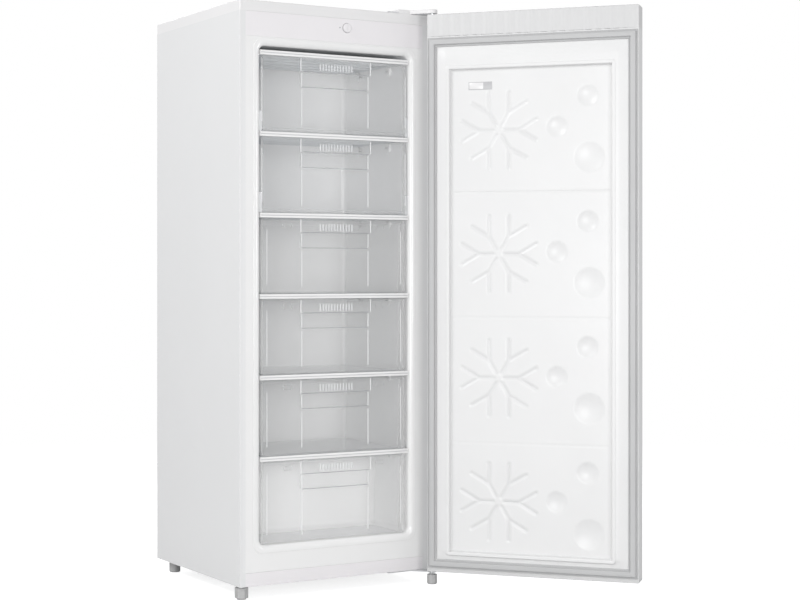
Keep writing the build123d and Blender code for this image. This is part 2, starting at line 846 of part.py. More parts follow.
with BuildPart() as door_top_cap:
    with BuildSketch(Plane.XY.offset(door_liner_high)):
        add(door_outline(0, door_inner))
    extrude(amount=top_cap_height)
    fillet(door_top_cap.faces().sort_by(Axis.Z)[-1].edges(), top_cap_round)
    with BuildSketch(Plane.XY.offset(door_liner_high)):
        with Locations((0, (door_outer + door_inner - flute_depth) / 2)):
            Rectangle(
                cabinet_width - 2 * plastic_wall - 2 * door_edge_radius,
                door_thickness - 2 * plastic_wall - flute_depth,
            )
        with Locations((hinge_x, hinge_y)):
            Circle(bush_radius + bush_boss_wall, mode=Mode.SUBTRACT)
    extrude(amount=top_cap_height - top_cap_wall, mode=Mode.SUBTRACT)
    flutes = int((cabinet_width - 2 * flute_margin) // flute_pitch)
    with BuildSketch(Plane.XY.offset(door_liner_high)):
        with Locations((0, door_inner + flute_radius - flute_depth)):
            with GridLocations(flute_pitch, 1, flutes, 1):
                Circle(flute_radius)
    extrude(amount=top_cap_height, mode=Mode.SUBTRACT)
    with Locations((hinge_x, hinge_y, door_top - bush_length / 2)):
        Cylinder(bush_radius, bush_length, mode=Mode.SUBTRACT)
finish(door_top_cap.part, "door_top_cap", on_door=True)

with BuildPart() as door_bottom_cap:
    with BuildSketch(Plane.XY.offset(door_bottom)):
        add(door_outline(0, door_inner))
    extrude(amount=bottom_cap_height)
    fillet(door_bottom_cap.faces().sort_by(Axis.Z)[0].edges(), bottom_cap_round)
    with Locations((hinge_x, hinge_y, door_bottom + bottom_cap_height / 2)):
        Cylinder(bush_radius, bottom_cap_height, mode=Mode.SUBTRACT)
finish(door_bottom_cap.part, "door_bottom_cap", on_door=True)

# plane border under the gasket, a ridge round a sunk field, and the grooves and hollows pressed into it
ridge_left = ridge_free_inset - half_width
ridge_right = half_width - ridge_hinge_inset
ridge_bottom = door_bottom + ridge_low_inset
ridge_top = door_top - ridge_high_inset
first_divider = ridge_bottom + divider_low
divider_pitch = (ridge_top - divider_high - first_divider) / (cell_count - 2)
first_flake = ridge_bottom + flake_low
flake_pitch = (ridge_top - flake_high - first_flake) / (cell_count - 1)
well_floor = door_inner - well_depth
field_back = well_floor - dimple_depth - door_liner_wall
with BuildPart() as door_liner:
    with BuildSketch(front_plane(door_inner)):
        frame_rectangle(
            -half_width + door_liner_edge, half_width - door_liner_edge, door_liner_low, door_liner_high
        )
    extrude(amount=door_liner_wall)
    with BuildSketch(front_plane(door_inner + ridge_proud)):
        frame_rectangle(ridge_left, ridge_right, ridge_bottom, ridge_top, ridge_corner)
    extrude(amount=ridge_proud + well_depth + dimple_depth + door_liner_wall)
    fillet(door_liner.faces().sort_by(Axis.Y)[-1].edges(), ridge_round)
    with BuildSketch(front_plane(door_inner + ridge_proud)):
        frame_rectangle(
            ridge_left + ridge_width,
            ridge_right - ridge_width,
            ridge_bottom + ridge_width,
            ridge_top - ridge_width,
            field_corner,
        )
    extrude(amount=ridge_proud + well_depth, mode=Mode.SUBTRACT)
    fillet(door_liner.faces().sort_by(Axis.Y)[-1].inner_wires()[0].edges(), field_round)
    with BuildSketch(front_plane(well_floor)):
        for divider in range(cell_count - 1):
            with Locations(((ridge_left + ridge_right) / 2, first_divider + divider_pitch * divider)):
                Rectangle(ridge_right - ridge_left - 2 * (ridge_width + divider_margin), divider_width)
    extrude(amount=divider_depth, mode=Mode.SUBTRACT)
    with BuildSketch(front_plane(well_floor)):
        for cell in range(cell_count):
            with Locations((half_width - flake_from_hinge, first_flake + flake_pitch * cell)):
                with PolarLocations(0, flake_arms):
                    with Locations(((flake_hub + flake_stem) / 2, 0)):
                        Rectangle(flake_stem - flake_hub + flake_groove / 2, flake_groove)
                    for turn in (-flake_fork_angle, flake_fork_angle):
                        reach = flake_fork / 2
                        with Locations(
                            Location(
                                (
                                    flake_stem + reach * cos(radians(turn)),
                                    reach * sin(radians(turn)),
                                    0,
                                ),
                                (0, 0, turn),
                            )
                        ):
                            Rectangle(flake_fork, flake_groove)
    extrude(amount=flake_depth, mode=Mode.SUBTRACT)
    for cell in range(cell_count):
        for from_free, up, radius in dimples:
            ball = (radius**2 + dimple_depth**2) / (2 * dimple_depth)
            with Locations(
                (
                    from_free - half_width,
                    well_floor + ball - dimple_depth,
                    first_flake + flake_pitch * cell + up,
                )
            ):
                Sphere(ball, mode=Mode.SUBTRACT)
finish(door_liner.part, "door_liner", on_door=True)

with BuildPart() as door_foam:
    with BuildSketch(Plane.XY.offset(door_liner_low)):
        add(door_outline(sheet, skin_edge - sheet))
    extrude(amount=door_liner_high - door_liner_low)
    block(
        (ridge_left - fit, ridge_right + fit),
        (field_back - fit, door_inner),
        (ridge_bottom - fit, ridge_top + fit),
        mode=Mode.SUBTRACT,
    )
    for low in (door_liner_low, door_liner_high - bush_length):
        with Locations((hinge_x, hinge_y, low + bush_length / 2)):
            Cylinder(bush_radius, bush_length, mode=Mode.SUBTRACT)
finish(door_foam.part, "door_foam", on_door=True)

gasket_bottom = door_bottom + gasket_low_inset
gasket_top = door_top - gasket_high_inset
with BuildPart() as door_gasket:
    with BuildSketch(front_plane(door_inner)):
        frame_rectangle(-half_width + gasket_inset, half_width - gasket_inset, gasket_bottom, gasket_top)
        frame_rectangle(
            -half_width + gasket_inset + gasket_width,
            half_width - gasket_inset - gasket_width,
            gasket_bottom + gasket_width,
            gasket_top - gasket_width,
            mode=Mode.SUBTRACT,
        )
    extrude(amount=-(door_gap - gasket_gap))
    fillet(door_gasket.faces().sort_by(Axis.Y)[-1].edges(), gasket_round)
finish(door_gasket.part, "door_gasket", on_door=True)

# flanged sleeves in the caps; the lower flange carries the door on its bracket
with BuildPart() as door_bushes:
    flange_height = door_lift - bush_flange_gap
    for low, flange_low in (
        (door_bottom, body_bottom + bush_flange_gap),
        (door_top - bush_length, door_top),
    ):
        with BuildSketch(Plane.XY.offset(low)):
            with Locations((hinge_x, hinge_y)):
                Circle(bush_radius - bush_fit)
        extrude(amount=bush_length)
        with BuildSketch(Plane.XY.offset(flange_low)):
            with Locations((hinge_x, hinge_y)):
                Circle(bush_radius + bush_flange)
        extrude(amount=flange_height)
        with BuildSketch(Plane.XY.offset(flange_low)):
            with Locations((hinge_x, hinge_y)):
                Circle(pin_diameter / 2 + running_fit)
        extrude(amount=flange_height, mode=Mode.SUBTRACT)
        with BuildSketch(Plane.XY.offset(low)):
            with Locations((hinge_x, hinge_y)):
                Circle(pin_diameter / 2 + running_fit)
        extrude(amount=bush_length, mode=Mode.SUBTRACT)
finish(door_bushes.part, "door_bushes", on_door=True)


# ================================================================ hinges
def bracket_outline():
    """Plan of a hinge bracket: round about the pin and square over the cabinet."""
    with BuildSketch() as outline:
        with BuildLine():
            Polyline(
                (hinge_x + bracket_round, hinge_y),
                (hinge_x + bracket_round, 0),
                (half_width, bracket_round),
                (half_width, bracket_rear),
                (hinge_x - bracket_inner, bracket_rear),
                (hinge_x - bracket_inner, bracket_setback),
                (hinge_x - bracket_neck, bracket_setback),
                (hinge_x - bracket_round, hinge_y),
            )
            RadiusArc(
                (hinge_x - bracket_round, hinge_y), (hinge_x + bracket_round, hinge_y), -bracket_round
            )
        make_face()
    return outline.sketch


def hinge_plate(z, holes):
    """Flat hinge bracket from z up, with its pin hole and screw holes."""
    with BuildPart() as plate:
        with BuildSketch(Plane.XY.offset(z)):
            add(bracket_outline())
            with Locations((hinge_x, hinge_y)):
                Circle(pin_diameter / 2 + running_fit, mode=Mode.SUBTRACT)
            with Locations(*holes):
                Circle(screw_diameter / 2 + running_fit, mode=Mode.SUBTRACT)
        extrude(amount=bracket_thickness)
    return plate


def hinge_pin(low, high, head_low):
    """Riveted pin from low to high with its head at head_low."""
    with BuildPart() as pin:
        with BuildSketch(Plane.XY.offset(low)):
            with Locations((hinge_x, hinge_y)):
                Circle(pin_diameter / 2)
        extrude(amount=high - low)
        with BuildSketch(Plane.XY.offset(head_low)):
            with Locations((hinge_x, hinge_y)):
                Circle(pin_diameter / 2 + pin_head_rim)
        extrude(amount=pin_head_height)
    return pin.part


upper_bracket = hinge_plate(cabinet_height, upper_screws)
finish(upper_bracket.part, "upper_hinge_bracket")
upper_head = cabinet_height + bracket_thickness
finish(hinge_pin(door_top - pin_length, upper_head, upper_head), "upper_hinge_pin")

lower_plate_bottom = body_bottom - bracket_thickness
with BuildPart() as lower_bracket:
    add(hinge_plate(lower_plate_bottom, lower_screws).part)
    with BuildSketch(Plane.XY.offset(lower_plate_bottom)):
        with Locations((hinge_x, hinge_y)):
            RegularPolygon(stud_diameter / 2 + nut_wall, 6)
    extrude(amount=-nut_height)
    with BuildSketch(Plane.XY.offset(lower_plate_bottom)):
        with Locations((hinge_x, hinge_y)):
            Circle(stud_diameter / 2 + stud_fit)
    extrude(amount=-nut_height, mode=Mode.SUBTRACT)
finish(lower_bracket.part, "lower_hinge_bracket")
with BuildPart() as lower_pin:
    with BuildSketch(Plane.XY.offset(lower_plate_bottom)):
        with Locations((hinge_x, hinge_y)):
            Circle(pin_diameter / 2)
    extrude(amount=bracket_thickness + pin_length)
finish(lower_pin.part, "lower_hinge_pin")

with BuildPart() as hinge_screws:
    with BuildSketch(Plane.XY.offset(lower_plate_bottom)):
        with Locations(*lower_screws):
            Circle(screw_head / 2)
    extrude(amount=-screw_head_height)
    with BuildSketch(Plane.XY.offset(lower_plate_bottom)):
        with Locations(*lower_screws):
            Circle(screw_diameter / 2)
    extrude(amount=screw_length)
    with BuildSketch(Plane.XY.offset(upper_head)):
        with Locations(*upper_screws):
            Circle(screw_head / 2)
    extrude(amount=screw_head_height)
    with BuildSketch(Plane.XY.offset(upper_head)):
        with Locations(*upper_screws):
            Circle(screw_diameter / 2)
    extrude(amount=-screw_length)
finish(hinge_screws.part, "hinge_screws")

# moulded cap over the upper bracket and its rivet, open underneath
cover_left = hinge_x - cover_reach


def cover_outline(grow):
    """Plan of the cover: the bracket's plan grown on every side, cut off at the cover's inner end."""
    with BuildSketch() as outline:
        add(bracket_outline())
        offset(amount=grow)
        frame_rectangle(
            cover_left - (grow - fit), cover_left + 2 * cover_reach, -cover_reach, 2 * bracket_rear,
            mode=Mode.INTERSECT,
        )
    return outline.sketch


with BuildPart() as hinge_cover:
    with BuildSketch(Plane.XY.offset(cabinet_height)):
        add(cover_outline(fit + cover_wall))
    extrude(amount=cover_height)
    fillet(hinge_cover.faces().sort_by(Axis.Z)[-1].edges(), cover_round)
    with BuildSketch(Plane.XY.offset(cabinet_height)):
        add(cover_outline(fit))
    extrude(amount=cover_height - cover_wall, mode=Mode.SUBTRACT)
    block(
        (cover_left - 2 * cover_wall, cover_left + cover_wall),
        (bracket_setback - fit, bracket_rear + fit),
        (cabinet_height, cabinet_height + bracket_thickness + fit),
        mode=Mode.SUBTRACT,
    )
finish(hinge_cover.part, "hinge_cover")

# ================================================================ feet
with BuildPart() as right_foot:
    foot_top = lower_plate_bottom - nut_height - foot_top_gap
    with BuildSketch():
        with Locations((hinge_x, hinge_y)):
            RegularPolygon(foot_diameter / 2, foot_facets)
    extrude(amount=foot_top)
    chamfer(right_foot.faces().sort_by(Axis.Z)[0].edges(), foot_chamfer)
    with BuildSketch(Plane.XY.offset(foot_top)):
        with Locations((hinge_x, hinge_y)):
            Circle(stud_diameter / 2)
    extrude(amount=foot_top_gap + nut_height - fit)
finish(right_foot.part, "right_foot")

left_foot_top = body_bottom - left_foot_gap
with BuildPart() as left_foot:
    with BuildSketch():
        with Locations((left_foot_x, left_foot_y)):
            Circle(left_foot_pad_diameter / 2)
    extrude(amount=left_foot_pad)
    with BuildSketch(Plane.XY.offset(left_foot_pad)):
        with Locations((left_foot_x, left_foot_y)):
            RegularPolygon(left_foot_width / 2, 6, rotation=30)
    extrude(amount=left_foot_top - left_foot_pad)
    with BuildSketch(Plane.XY.offset(left_foot_top)):
        with Locations((left_foot_x, left_foot_y)):
            Circle(stud_diameter / 2)
    extrude(amount=left_foot_stud)
finish(left_foot.part, "left_foot")

rear_foot_x = half_width - rear_foot_side
rear_foot_y = cabinet_depth - rear_foot_inset
with BuildPart() as rear_feet:
    with BuildSketch():
        with Locations((-rear_foot_x, rear_foot_y), (rear_foot_x, rear_foot_y)):
            Circle(rear_foot_diameter / 2)
    extrude(amount=rail_top - rail_sheet)
    chamfer(rear_feet.faces().group_by(Axis.Z)[0].edges(), foot_chamfer)
finish(rear_feet.part, "rear_feet")

# ================================================================ compressor niche
rail_front = niche_front + rail_front_gap
rail_rear = cabinet_depth - rail_rear_gap
with BuildPart() as compressor_rail:
    with BuildSketch(Plane.YZ):
        with BuildLine():
            Polyline(
                (rail_front, body_bottom),
                (rail_front, rail_top),
                (rail_rear, rail_top),
                (rail_rear, body_bottom),
                (rail_rear - rail_sheet, body_bottom),
                (rail_rear - rail_sheet, rail_top - rail_sheet),
                (rail_front + rail_sheet, rail_top - rail_sheet),
                (rail_front + rail_sheet, body_bottom),
                close=True,
            )
        make_face()
    extrude(amount=inner_half, both=True)
finish(compressor_rail.part, "compressor_rail")

plate_low = rail_top + grommet_height
with BuildPart() as compressor_grommets:
    with BuildSketch(Plane.XY.offset(rail_top)):
        with Locations((compressor_x, compressor_y)):
            with GridLocations(*grommet_spacing, 2, 2):
                Circle(grommet_diameter / 2)
    extrude(amount=grommet_height)
finish(compressor_grommets.part, "compressor_grommets")

# two pressed shells welded at a flange, on a pressed foot plate
shell_low = plate_low + plate_thickness
weld = shell_low + weld_up
crown = shell_low + compressor_height
with BuildPart() as compressor:
    with BuildSketch(Plane.XY.offset(plate_low)):
        with Locations((compressor_x, compressor_y)):
            RectangleRounded(plate_width, plate_depth, plate_corner)
    extrude(amount=plate_thickness)
    shell_plane = Plane(origin=(compressor_x, compressor_y, 0), x_dir=(1, 0, 0), z_dir=(0, -1, 0))
    with BuildSketch(shell_plane) as shell_profile:
        with BuildLine():
            Polyline(
                (0, crown),
                (0, shell_low),
                (compressor_radius, shell_low),
                (compressor_radius, weld - weld_half),
                (compressor_radius + weld_width, weld - weld_half),
                (compressor_radius + weld_width, weld + weld_half),
                (compressor_radius, weld + weld_half),
                (compressor_radius, crown),
                close=True,
            )
        make_face()
        shell_corners = shell_profile.vertices().group_by(Axis.X)[1]
        fillet(shell_corners.sort_by(Axis.Y)[-1], crown_round)
        fillet(shell_corners.sort_by(Axis.Y)[0], base_round)
    revolve(axis=Axis((compressor_x, compressor_y, 0), (0, 0, 1)))
finish(compressor.part, "compressor")

relay_low = weld + weld_half + fit
with BuildPart() as start_relay_box:
    relay_face = compressor_x + compressor_radius * cos(radians(relay_wrap))
    block(
        (relay_face, relay_face + relay_reach),
        (compressor_y - relay_width / 2, compressor_y + relay_width / 2),
        (relay_low, relay_low + relay_height),
    )
    fillet(start_relay_box.edges().filter_by(Axis.Z), relay_round)
    with Locations((compressor_x, compressor_y, relay_low + relay_height / 2)):
        Cylinder(compressor_radius + fit, relay_height, mode=Mode.SUBTRACT)
finish(start_relay_box.part, "start_relay_box")

# ================================================================ condenser
condenser_passes = int((worktop_bottom - condenser_high_gap - condenser_bottom) // condenser_pitch) + 1
condenser_tops = [condenser_bottom + condenser_pitch * i for i in range(condenser_passes)]
wire_y = condenser_y + pipe_diameter / 2
with BuildPart() as condenser:
    route = []
    for turn, z in enumerate(condenser_tops):
        ends = [(-condenser_half, condenser_y, z), (condenser_half, condenser_y, z)]
        route += ends if turn % 2 == 0 else ends[::-1]
    with BuildLine() as condenser_path:
        FilletPolyline(*route, radius=condenser_bend)
    with BuildSketch(Plane(origin=route[0], x_dir=(0, 1, 0), z_dir=(1, 0, 0))):
        RegularPolygon(pipe_diameter / 2, pipe_flats, major_radius=False, rotation=180 / pipe_flats)
    sweep(path=condenser_path.line)
    with BuildSketch(Plane.XY.offset(condenser_bottom - wire_overhang)):
        with Locations((0, wire_y + wire_width / 2)):
            wire_pitch = 2 * (condenser_half - wire_side_margin) / (wire_count - 1)
            with GridLocations(wire_pitch, 1, wire_count, 1):
                Rectangle(wire_width, wire_width)
    extrude(amount=condenser_tops[-1] - condenser_bottom + 2 * wire_overhang)
finish(condenser.part, "condenser")

with BuildPart() as condenser_brackets:
    for z in (condenser_tops[1], condenser_tops[-2]):
        with BuildSketch(front_plane(back_y + sheet)):
            with Locations((standoff_inset - condenser_half, z), (condenser_half - standoff_inset, z)):
                Rectangle(standoff_width, standoff_height)
        extrude(amount=-(condenser_y - pipe_diameter / 2 - back_y - sheet))
finish(condenser_brackets.part, "condenser_brackets")

# ================================================================ pipes and drier in the niche
pipe_radius = pipe_diameter / 2
drier_x = drier_inset - condenser_half
drier_low = body_bottom + drier_rise
drier_high = drier_low + drier_length
with BuildPart() as filter_drier:
    with BuildSketch(Plane(origin=(drier_x, condenser_y, 0), x_dir=(1, 0, 0), z_dir=(0, -1, 0))):
        with BuildLine():
            Polyline(
                (0, drier_low),
                (pipe_radius, drier_low),
                (drier_radius, drier_low + drier_cone),
                (drier_radius, drier_high - drier_cone),
                (pipe_radius, drier_high),
                (0, drier_high),
                close=True,
            )
        make_face()
    revolve(axis=Axis((drier_x, condenser_y, 0), (0, 0, 1)))
finish(filter_drier.part, "filter_drier")

suction_z = weld + suction_rise
suction_x = compressor_x - suction_side
loop_x = -(condenser_half + half_width) / 2
loop_z = drier_high + drier_loop
pipe_routes = (
    # liquid line, from the condenser's lower end to the drier
    (
        (-condenser_half, condenser_y, condenser_bottom),
        (loop_x, condenser_y, condenser_bottom),
        (loop_x, condenser_y, loop_z),
        (drier_x, condenser_y, loop_z),
        (drier_x, condenser_y, drier_high),
    ),
    # suction line, from the niche's ceiling to the compressor's shell
    (
        (suction_x, compressor_y, niche_top - sheet),
        (suction_x, compressor_y, suction_z),
        (compressor_x - compressor_radius, compressor_y, suction_z),
    ),
)
with BuildPart() as refrigerant_pipes:
    for points in pipe_routes:
        with BuildLine() as path:
            FilletPolyline(*points, radius=pipe_bend)
        start = Vector(*points[1]) - Vector(*points[0])
        with BuildSketch(Plane(origin=points[0], z_dir=start.normalized())):
            RegularPolygon(pipe_radius, pipe_flats)
        sweep(path=path.line)
finish(refrigerant_pipes.part, "refrigerant_pipes")

# ================================================================ origin and files
box = Compound(list(finished.values())).bounding_box()
origin = Vector((box.min.X + box.max.X) / 2, (box.min.Y + box.max.Y) / 2, 0)
for name, part in finished.items():
    placed = part.moved(Location(-origin))
    placed.label = name
    export_step(placed, f"parts/{name}.step")

places = {
    "size": (box.size.X, box.size.Y, box.size.Z),
    "shift": tuple(-origin),
    "hinge": (hinge_x, hinge_y, door_bottom),
    "knob": (knob_x, 0, knob_z),
    "right_foot": (hinge_x, hinge_y, 0),
    "left_foot": (left_foot_x, left_foot_y, 0),
    "flap_1": (0, *flap_axes[0]),
    "flap_2": (0, *flap_axes[1]),
    "drawer_travel": tuple(drawer_travel),
}
for name, values in places.items():
    print(name, *[f"{value:.3f}" for value in values])
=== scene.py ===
"""Looks of the upright freezer: materials, small trim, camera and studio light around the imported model."""

import json
from math import cos, pi, radians, sin

import bmesh
import bpy
import numpy as np
from mathutils import Matrix, Vector


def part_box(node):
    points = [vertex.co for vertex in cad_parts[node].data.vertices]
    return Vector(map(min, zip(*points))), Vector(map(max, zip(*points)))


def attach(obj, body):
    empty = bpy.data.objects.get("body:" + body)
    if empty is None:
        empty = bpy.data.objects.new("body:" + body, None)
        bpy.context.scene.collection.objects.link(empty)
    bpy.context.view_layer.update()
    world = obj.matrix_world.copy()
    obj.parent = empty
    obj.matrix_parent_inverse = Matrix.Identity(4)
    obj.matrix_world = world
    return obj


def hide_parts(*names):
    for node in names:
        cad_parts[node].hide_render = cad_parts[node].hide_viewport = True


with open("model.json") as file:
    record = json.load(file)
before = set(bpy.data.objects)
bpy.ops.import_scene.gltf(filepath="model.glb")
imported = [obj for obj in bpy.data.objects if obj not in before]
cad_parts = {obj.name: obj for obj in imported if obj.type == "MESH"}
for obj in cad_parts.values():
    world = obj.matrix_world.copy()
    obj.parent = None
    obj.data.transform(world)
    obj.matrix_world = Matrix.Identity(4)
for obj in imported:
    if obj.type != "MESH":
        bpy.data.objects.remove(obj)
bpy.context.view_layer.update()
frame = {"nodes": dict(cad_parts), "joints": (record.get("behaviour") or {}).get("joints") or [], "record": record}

MM = 0.001
nodes = frame["nodes"]

# ---------------------------------------------------------------- places read from the frame
top_low, top_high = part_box("worktop")
panel_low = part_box("control_panel")[0]
knob_low, knob_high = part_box("thermostat_knob")
centre_x = (top_low.x + top_high.x) / 2
front_y = panel_low.y
hinge = next(Vector(joint["pos_m"]) for joint in frame["joints"] if joint["name"] == "door_hinge")
DOOR_ANGLE = radians(131.3)  # how far the door stands open at rest
DOOR_SETBACK = 22.3 * MM  # hinge pin to the door's inner plane
HINGE_INSET = 6.5 * MM  # hinge pin to the door's side edge


# ---------------------------------------------------------------- materials
def tree_of(name):
    """New node material with its shader; returns the material, its nodes, its links and the shader."""
    material = bpy.data.materials.new(name)
    material.use_nodes = True
    tree = material.node_tree
    return material, tree.nodes, tree.links, tree.nodes["Principled BSDF"]


def noise(parts, links, scale, detail=2.0, stretch=(1, 1, 1)):
    """Noise in the object's own metres, stretched along an axis if asked; returns its factor socket."""
    place = parts.new("ShaderNodeTexCoord")
    mapping = parts.new("ShaderNodeMapping")
    mapping.inputs["Scale"].default_value = stretch
    texture = parts.new("ShaderNodeTexNoise")
    texture.inputs["Scale"].default_value = scale
    texture.inputs["Detail"].default_value = detail
    links.new(place.outputs["Object"], mapping.inputs["Vector"])
    links.new(mapping.outputs["Vector"], texture.inputs["Vector"])
    return texture.outputs["Fac"]


def ramp(parts, links, factor, low, high, start=0.3, stop=0.7):
    """Two-stop ramp between colours low and high."""
    node = parts.new("ShaderNodeValToRGB")
    node.color_ramp.elements[0].position = start
    node.color_ramp.elements[1].position = stop
    node.color_ramp.elements[0].color = (*low, 1)
    node.color_ramp.elements[1].color = (*high, 1)
    links.new(factor, node.inputs["Fac"])
    return node.outputs["Color"]


def scaled(colour, factor):
    """Colour with each channel times the factor."""
    return tuple(channel * factor for channel in colour)


def finish(name, colour, rough, metal=0.0, mottle=0.02, mottle_scale=6.0, grain=900.0, relief=0.03,
           rough_spread=0.06, stretch=(1, 1, 1), coat=0.0, alpha=1.0, specular=0.5):
    """Solid finish: slow colour drift, uneven gloss and a fine surface relief."""
    material, parts, links, shader = tree_of(name)
    drift = noise(parts, links, mottle_scale, 3.0)
    tint = ramp(parts, links, drift, scaled(colour, 1 - mottle), colour)
    links.new(tint, shader.inputs["Base Color"])
    wear = noise(parts, links, mottle_scale * 5, 4.0, stretch)
    gloss = parts.new("ShaderNodeMapRange")
    gloss.inputs["To Min"].default_value = rough - rough_spread / 2
    gloss.inputs["To Max"].default_value = rough + rough_spread / 2
    links.new(wear, gloss.inputs["Value"])
    links.new(gloss.outputs["Result"], shader.inputs["Roughness"])
    bump = parts.new("ShaderNodeBump")
    bump.inputs["Strength"].default_value = relief
    bump.inputs["Distance"].default_value = 0.3 * MM
    links.new(noise(parts, links, grain, 2.0, stretch), bump.inputs["Height"])
    links.new(bump.outputs["Normal"], shader.inputs["Normal"])
    shader.inputs["Metallic"].default_value = metal
    shader.inputs["Coat Weight"].default_value = coat
    shader.inputs["Coat Roughness"].default_value = 0.08
    shader.inputs["Specular IOR Level"].default_value = specular
    shader.inputs["Alpha"].default_value = alpha
    return material


paint = finish("white_paint", (0.69, 0.692, 0.695), 0.33, mottle=0.01, grain=700, relief=0.02,
               coat=0.25)
panel_plastic = finish("white_panel_plastic", (0.735, 0.718, 0.732), 0.36, grain=1500, relief=0.03)
top_plastic = finish("white_top_plastic", (0.715, 0.71, 0.713), 0.3, grain=1500, relief=0.03)
liner_plastic = finish("liner_plastic", (0.96, 0.958, 0.956), 0.22, grain=350, relief=0.015, coat=0.3)
# painted shade: the door's liner and caps are darker copies of the liner and white plastics, to make up for the
# strong light on the open door
door_plastic_painted_shade = finish("door_liner_plastic_painted_shade", (0.70, 0.70, 0.70), 0.36, grain=350, relief=0.015)
cap_plastic_painted_shade = finish("white_cap_plastic_painted_shade", (0.59, 0.59, 0.592), 0.32, grain=1500, relief=0.03)
# grey of the printed dial ring and mark, also used for the painted shade of the clip slots
print_grey_and_painted_shade = finish("print_grey_and_painted_shade", (0.30, 0.30, 0.31), 0.4)
# grey of the rating plate, also used for the painted shade in the shelf trim grooves
label_grey_and_painted_shade = finish("label_grey_and_painted_shade", (0.46, 0.46, 0.47), 0.4)


def darken(material, amount, colour):
    """Multiply a finish's colour by another, as far as a node's output named in amount says."""
    tree = material.node_tree
    shader = tree.nodes["Principled BSDF"]
    source = shader.inputs["Base Color"].links[0].from_socket
    darker = tree.nodes.new("ShaderNodeMix")
    darker.data_type = "RGBA"
    darker.blend_type = "MULTIPLY"
    darker.inputs["B"].default_value = (*colour, 1)
    tree.links.new(amount, darker.inputs["Factor"])
    tree.links.new(source, darker.inputs["A"])
    tree.links.new(darker.outputs["Result"], shader.inputs["Base Color"])


def paint_shade_in_recesses(material, attribute, share):
    """Paint shade into a finish's colour where a point attribute says that the surface is pressed in."""
    depth = material.node_tree.nodes.new("ShaderNodeAttribute")
    depth.attribute_name = attribute
    darken(material, depth.outputs["Fac"], (1 - share, 1 - share, 1 - share * GROOVE_TINT))


def paint_shade_by_depth(material, front, rear, share):
    """Paint shade into a finish's colour in front of the depth front, easing to its own colour at the depth rear.
    """
    tree = material.node_tree
    here = tree.nodes.new("ShaderNodeTexCoord")
    depth = tree.nodes.new("ShaderNodeSeparateXYZ")
    amount = tree.nodes.new("ShaderNodeMapRange")
    amount.inputs["From Min"].default_value = front
    amount.inputs["From Max"].default_value = rear
    amount.inputs["To Min"].default_value = 1.0
    amount.inputs["To Max"].default_value = 0.0
    tree.links.new(here.outputs["Object"], depth.inputs["Vector"])
    tree.links.new(depth.outputs["Y"], amount.inputs["Value"])
    darken(material, amount.outputs["Result"], (1 - share, 1 - share, 1 - share))


GROOVE_SHADE, GROOVE_TINT = 0.05, 0.95  # light lost in a groove; how much of that loss blue has
FLANGE_SHADE, FLANGE_DEPTH = 0.21, 18 * MM  # painted shade: the liner's colour is painted darker on the cabinet's front flange than inside
paint_shade_in_recesses(door_plastic_painted_shade, "groove", GROOVE_SHADE)
paint_shade_by_depth(liner_plastic, front_y, front_y + FLANGE_DEPTH, FLANGE_SHADE)
zinc = finish("galvanised_sheet", (0.58, 0.6, 0.62), 0.42, metal=1.0, mottle=0.25, mottle_scale=40,
              grain=250, relief=0.05)
steel = finish("hinge_steel", (0.72, 0.73, 0.74), 0.3, metal=1.0, mottle=0.08, grain=600, relief=0.04,
               stretch=(1, 12, 1))
plate_metal = finish("evaporator_plate", (0.72, 0.74, 0.76), 0.4, metal=0.35, mottle=0.04, grain=500,
                     relief=0.03)
tube_paint = finish("evaporator_tube", (0.75, 0.77, 0.79), 0.4, mottle=0.05)
foam = finish("foam", (0.83, 0.74, 0.5), 0.85, mottle=0.12, mottle_scale=60, grain=1200, relief=0.5)
rubber_grey = finish("gasket_rubber", (0.47, 0.472, 0.475), 0.5, mottle=0.05, grain=1400, relief=0.08)
foot_grey = finish("foot_plastic", (0.44, 0.44, 0.44), 0.45, mottle=0.15, grain=1500, relief=0.15)
black_paint = finish("black_paint", (0.016, 0.016, 0.018), 0.38, mottle=0.1, grain=600, relief=0.08)
black_plastic = finish("black_plastic", (0.025, 0.025, 0.027), 0.5, mottle=0.1, grain=1800, relief=0.12)
black_rubber = finish("black_rubber", (0.015, 0.015, 0.015), 0.8, mottle=0.1, grain=1200, relief=0.2)
copper = finish("copper", (0.75, 0.36, 0.2), 0.25, metal=1.0, mottle=0.2, mottle_scale=30, grain=400)
bush_plastic = finish("bush_plastic", (0.75, 0.75, 0.74), 0.45)
clear = finish("clear_plastic", (0.94, 0.942, 0.942), 0.07, mottle=0.02, grain=200, relief=0.02,
               rough_spread=0.03, specular=0.8)


def clear_by_angle(material, face_on, edge_on, exponent):
    """Alpha of a clear moulding: nearly clear face on, and milky where light runs along its walls."""
    tree = material.node_tree
    facing = tree.nodes.new("ShaderNodeLayerWeight")
    curve = tree.nodes.new("ShaderNodeMath")
    curve.operation = "POWER"
    curve.inputs[1].default_value = exponent
    opacity = tree.nodes.new("ShaderNodeMapRange")
    opacity.inputs["To Min"].default_value = face_on
    opacity.inputs["To Max"].default_value = edge_on
    tree.links.new(facing.outputs["Facing"], curve.inputs[0])
    tree.links.new(curve.outputs["Value"], opacity.inputs["Value"])
    tree.links.new(opacity.outputs["Result"], tree.nodes["Principled BSDF"].inputs["Alpha"])


clear_tray = clear.copy()
clear_tray.name = "clear_tray_plastic"
clear_by_angle(clear, 0.05, 0.95, 1.35)
clear_by_angle(clear_tray, 0.03, 0.7, 1.9)
# frosted plastic of the flap pivots, also used for painted highlights on the grip ribs of the clear fronts
frosted_and_rib_highlight = finish("frosted_pivots_and_rib_highlight", (0.92, 0.93, 0.94), 0.2, mottle=0.02, grain=400, alpha=0.5)
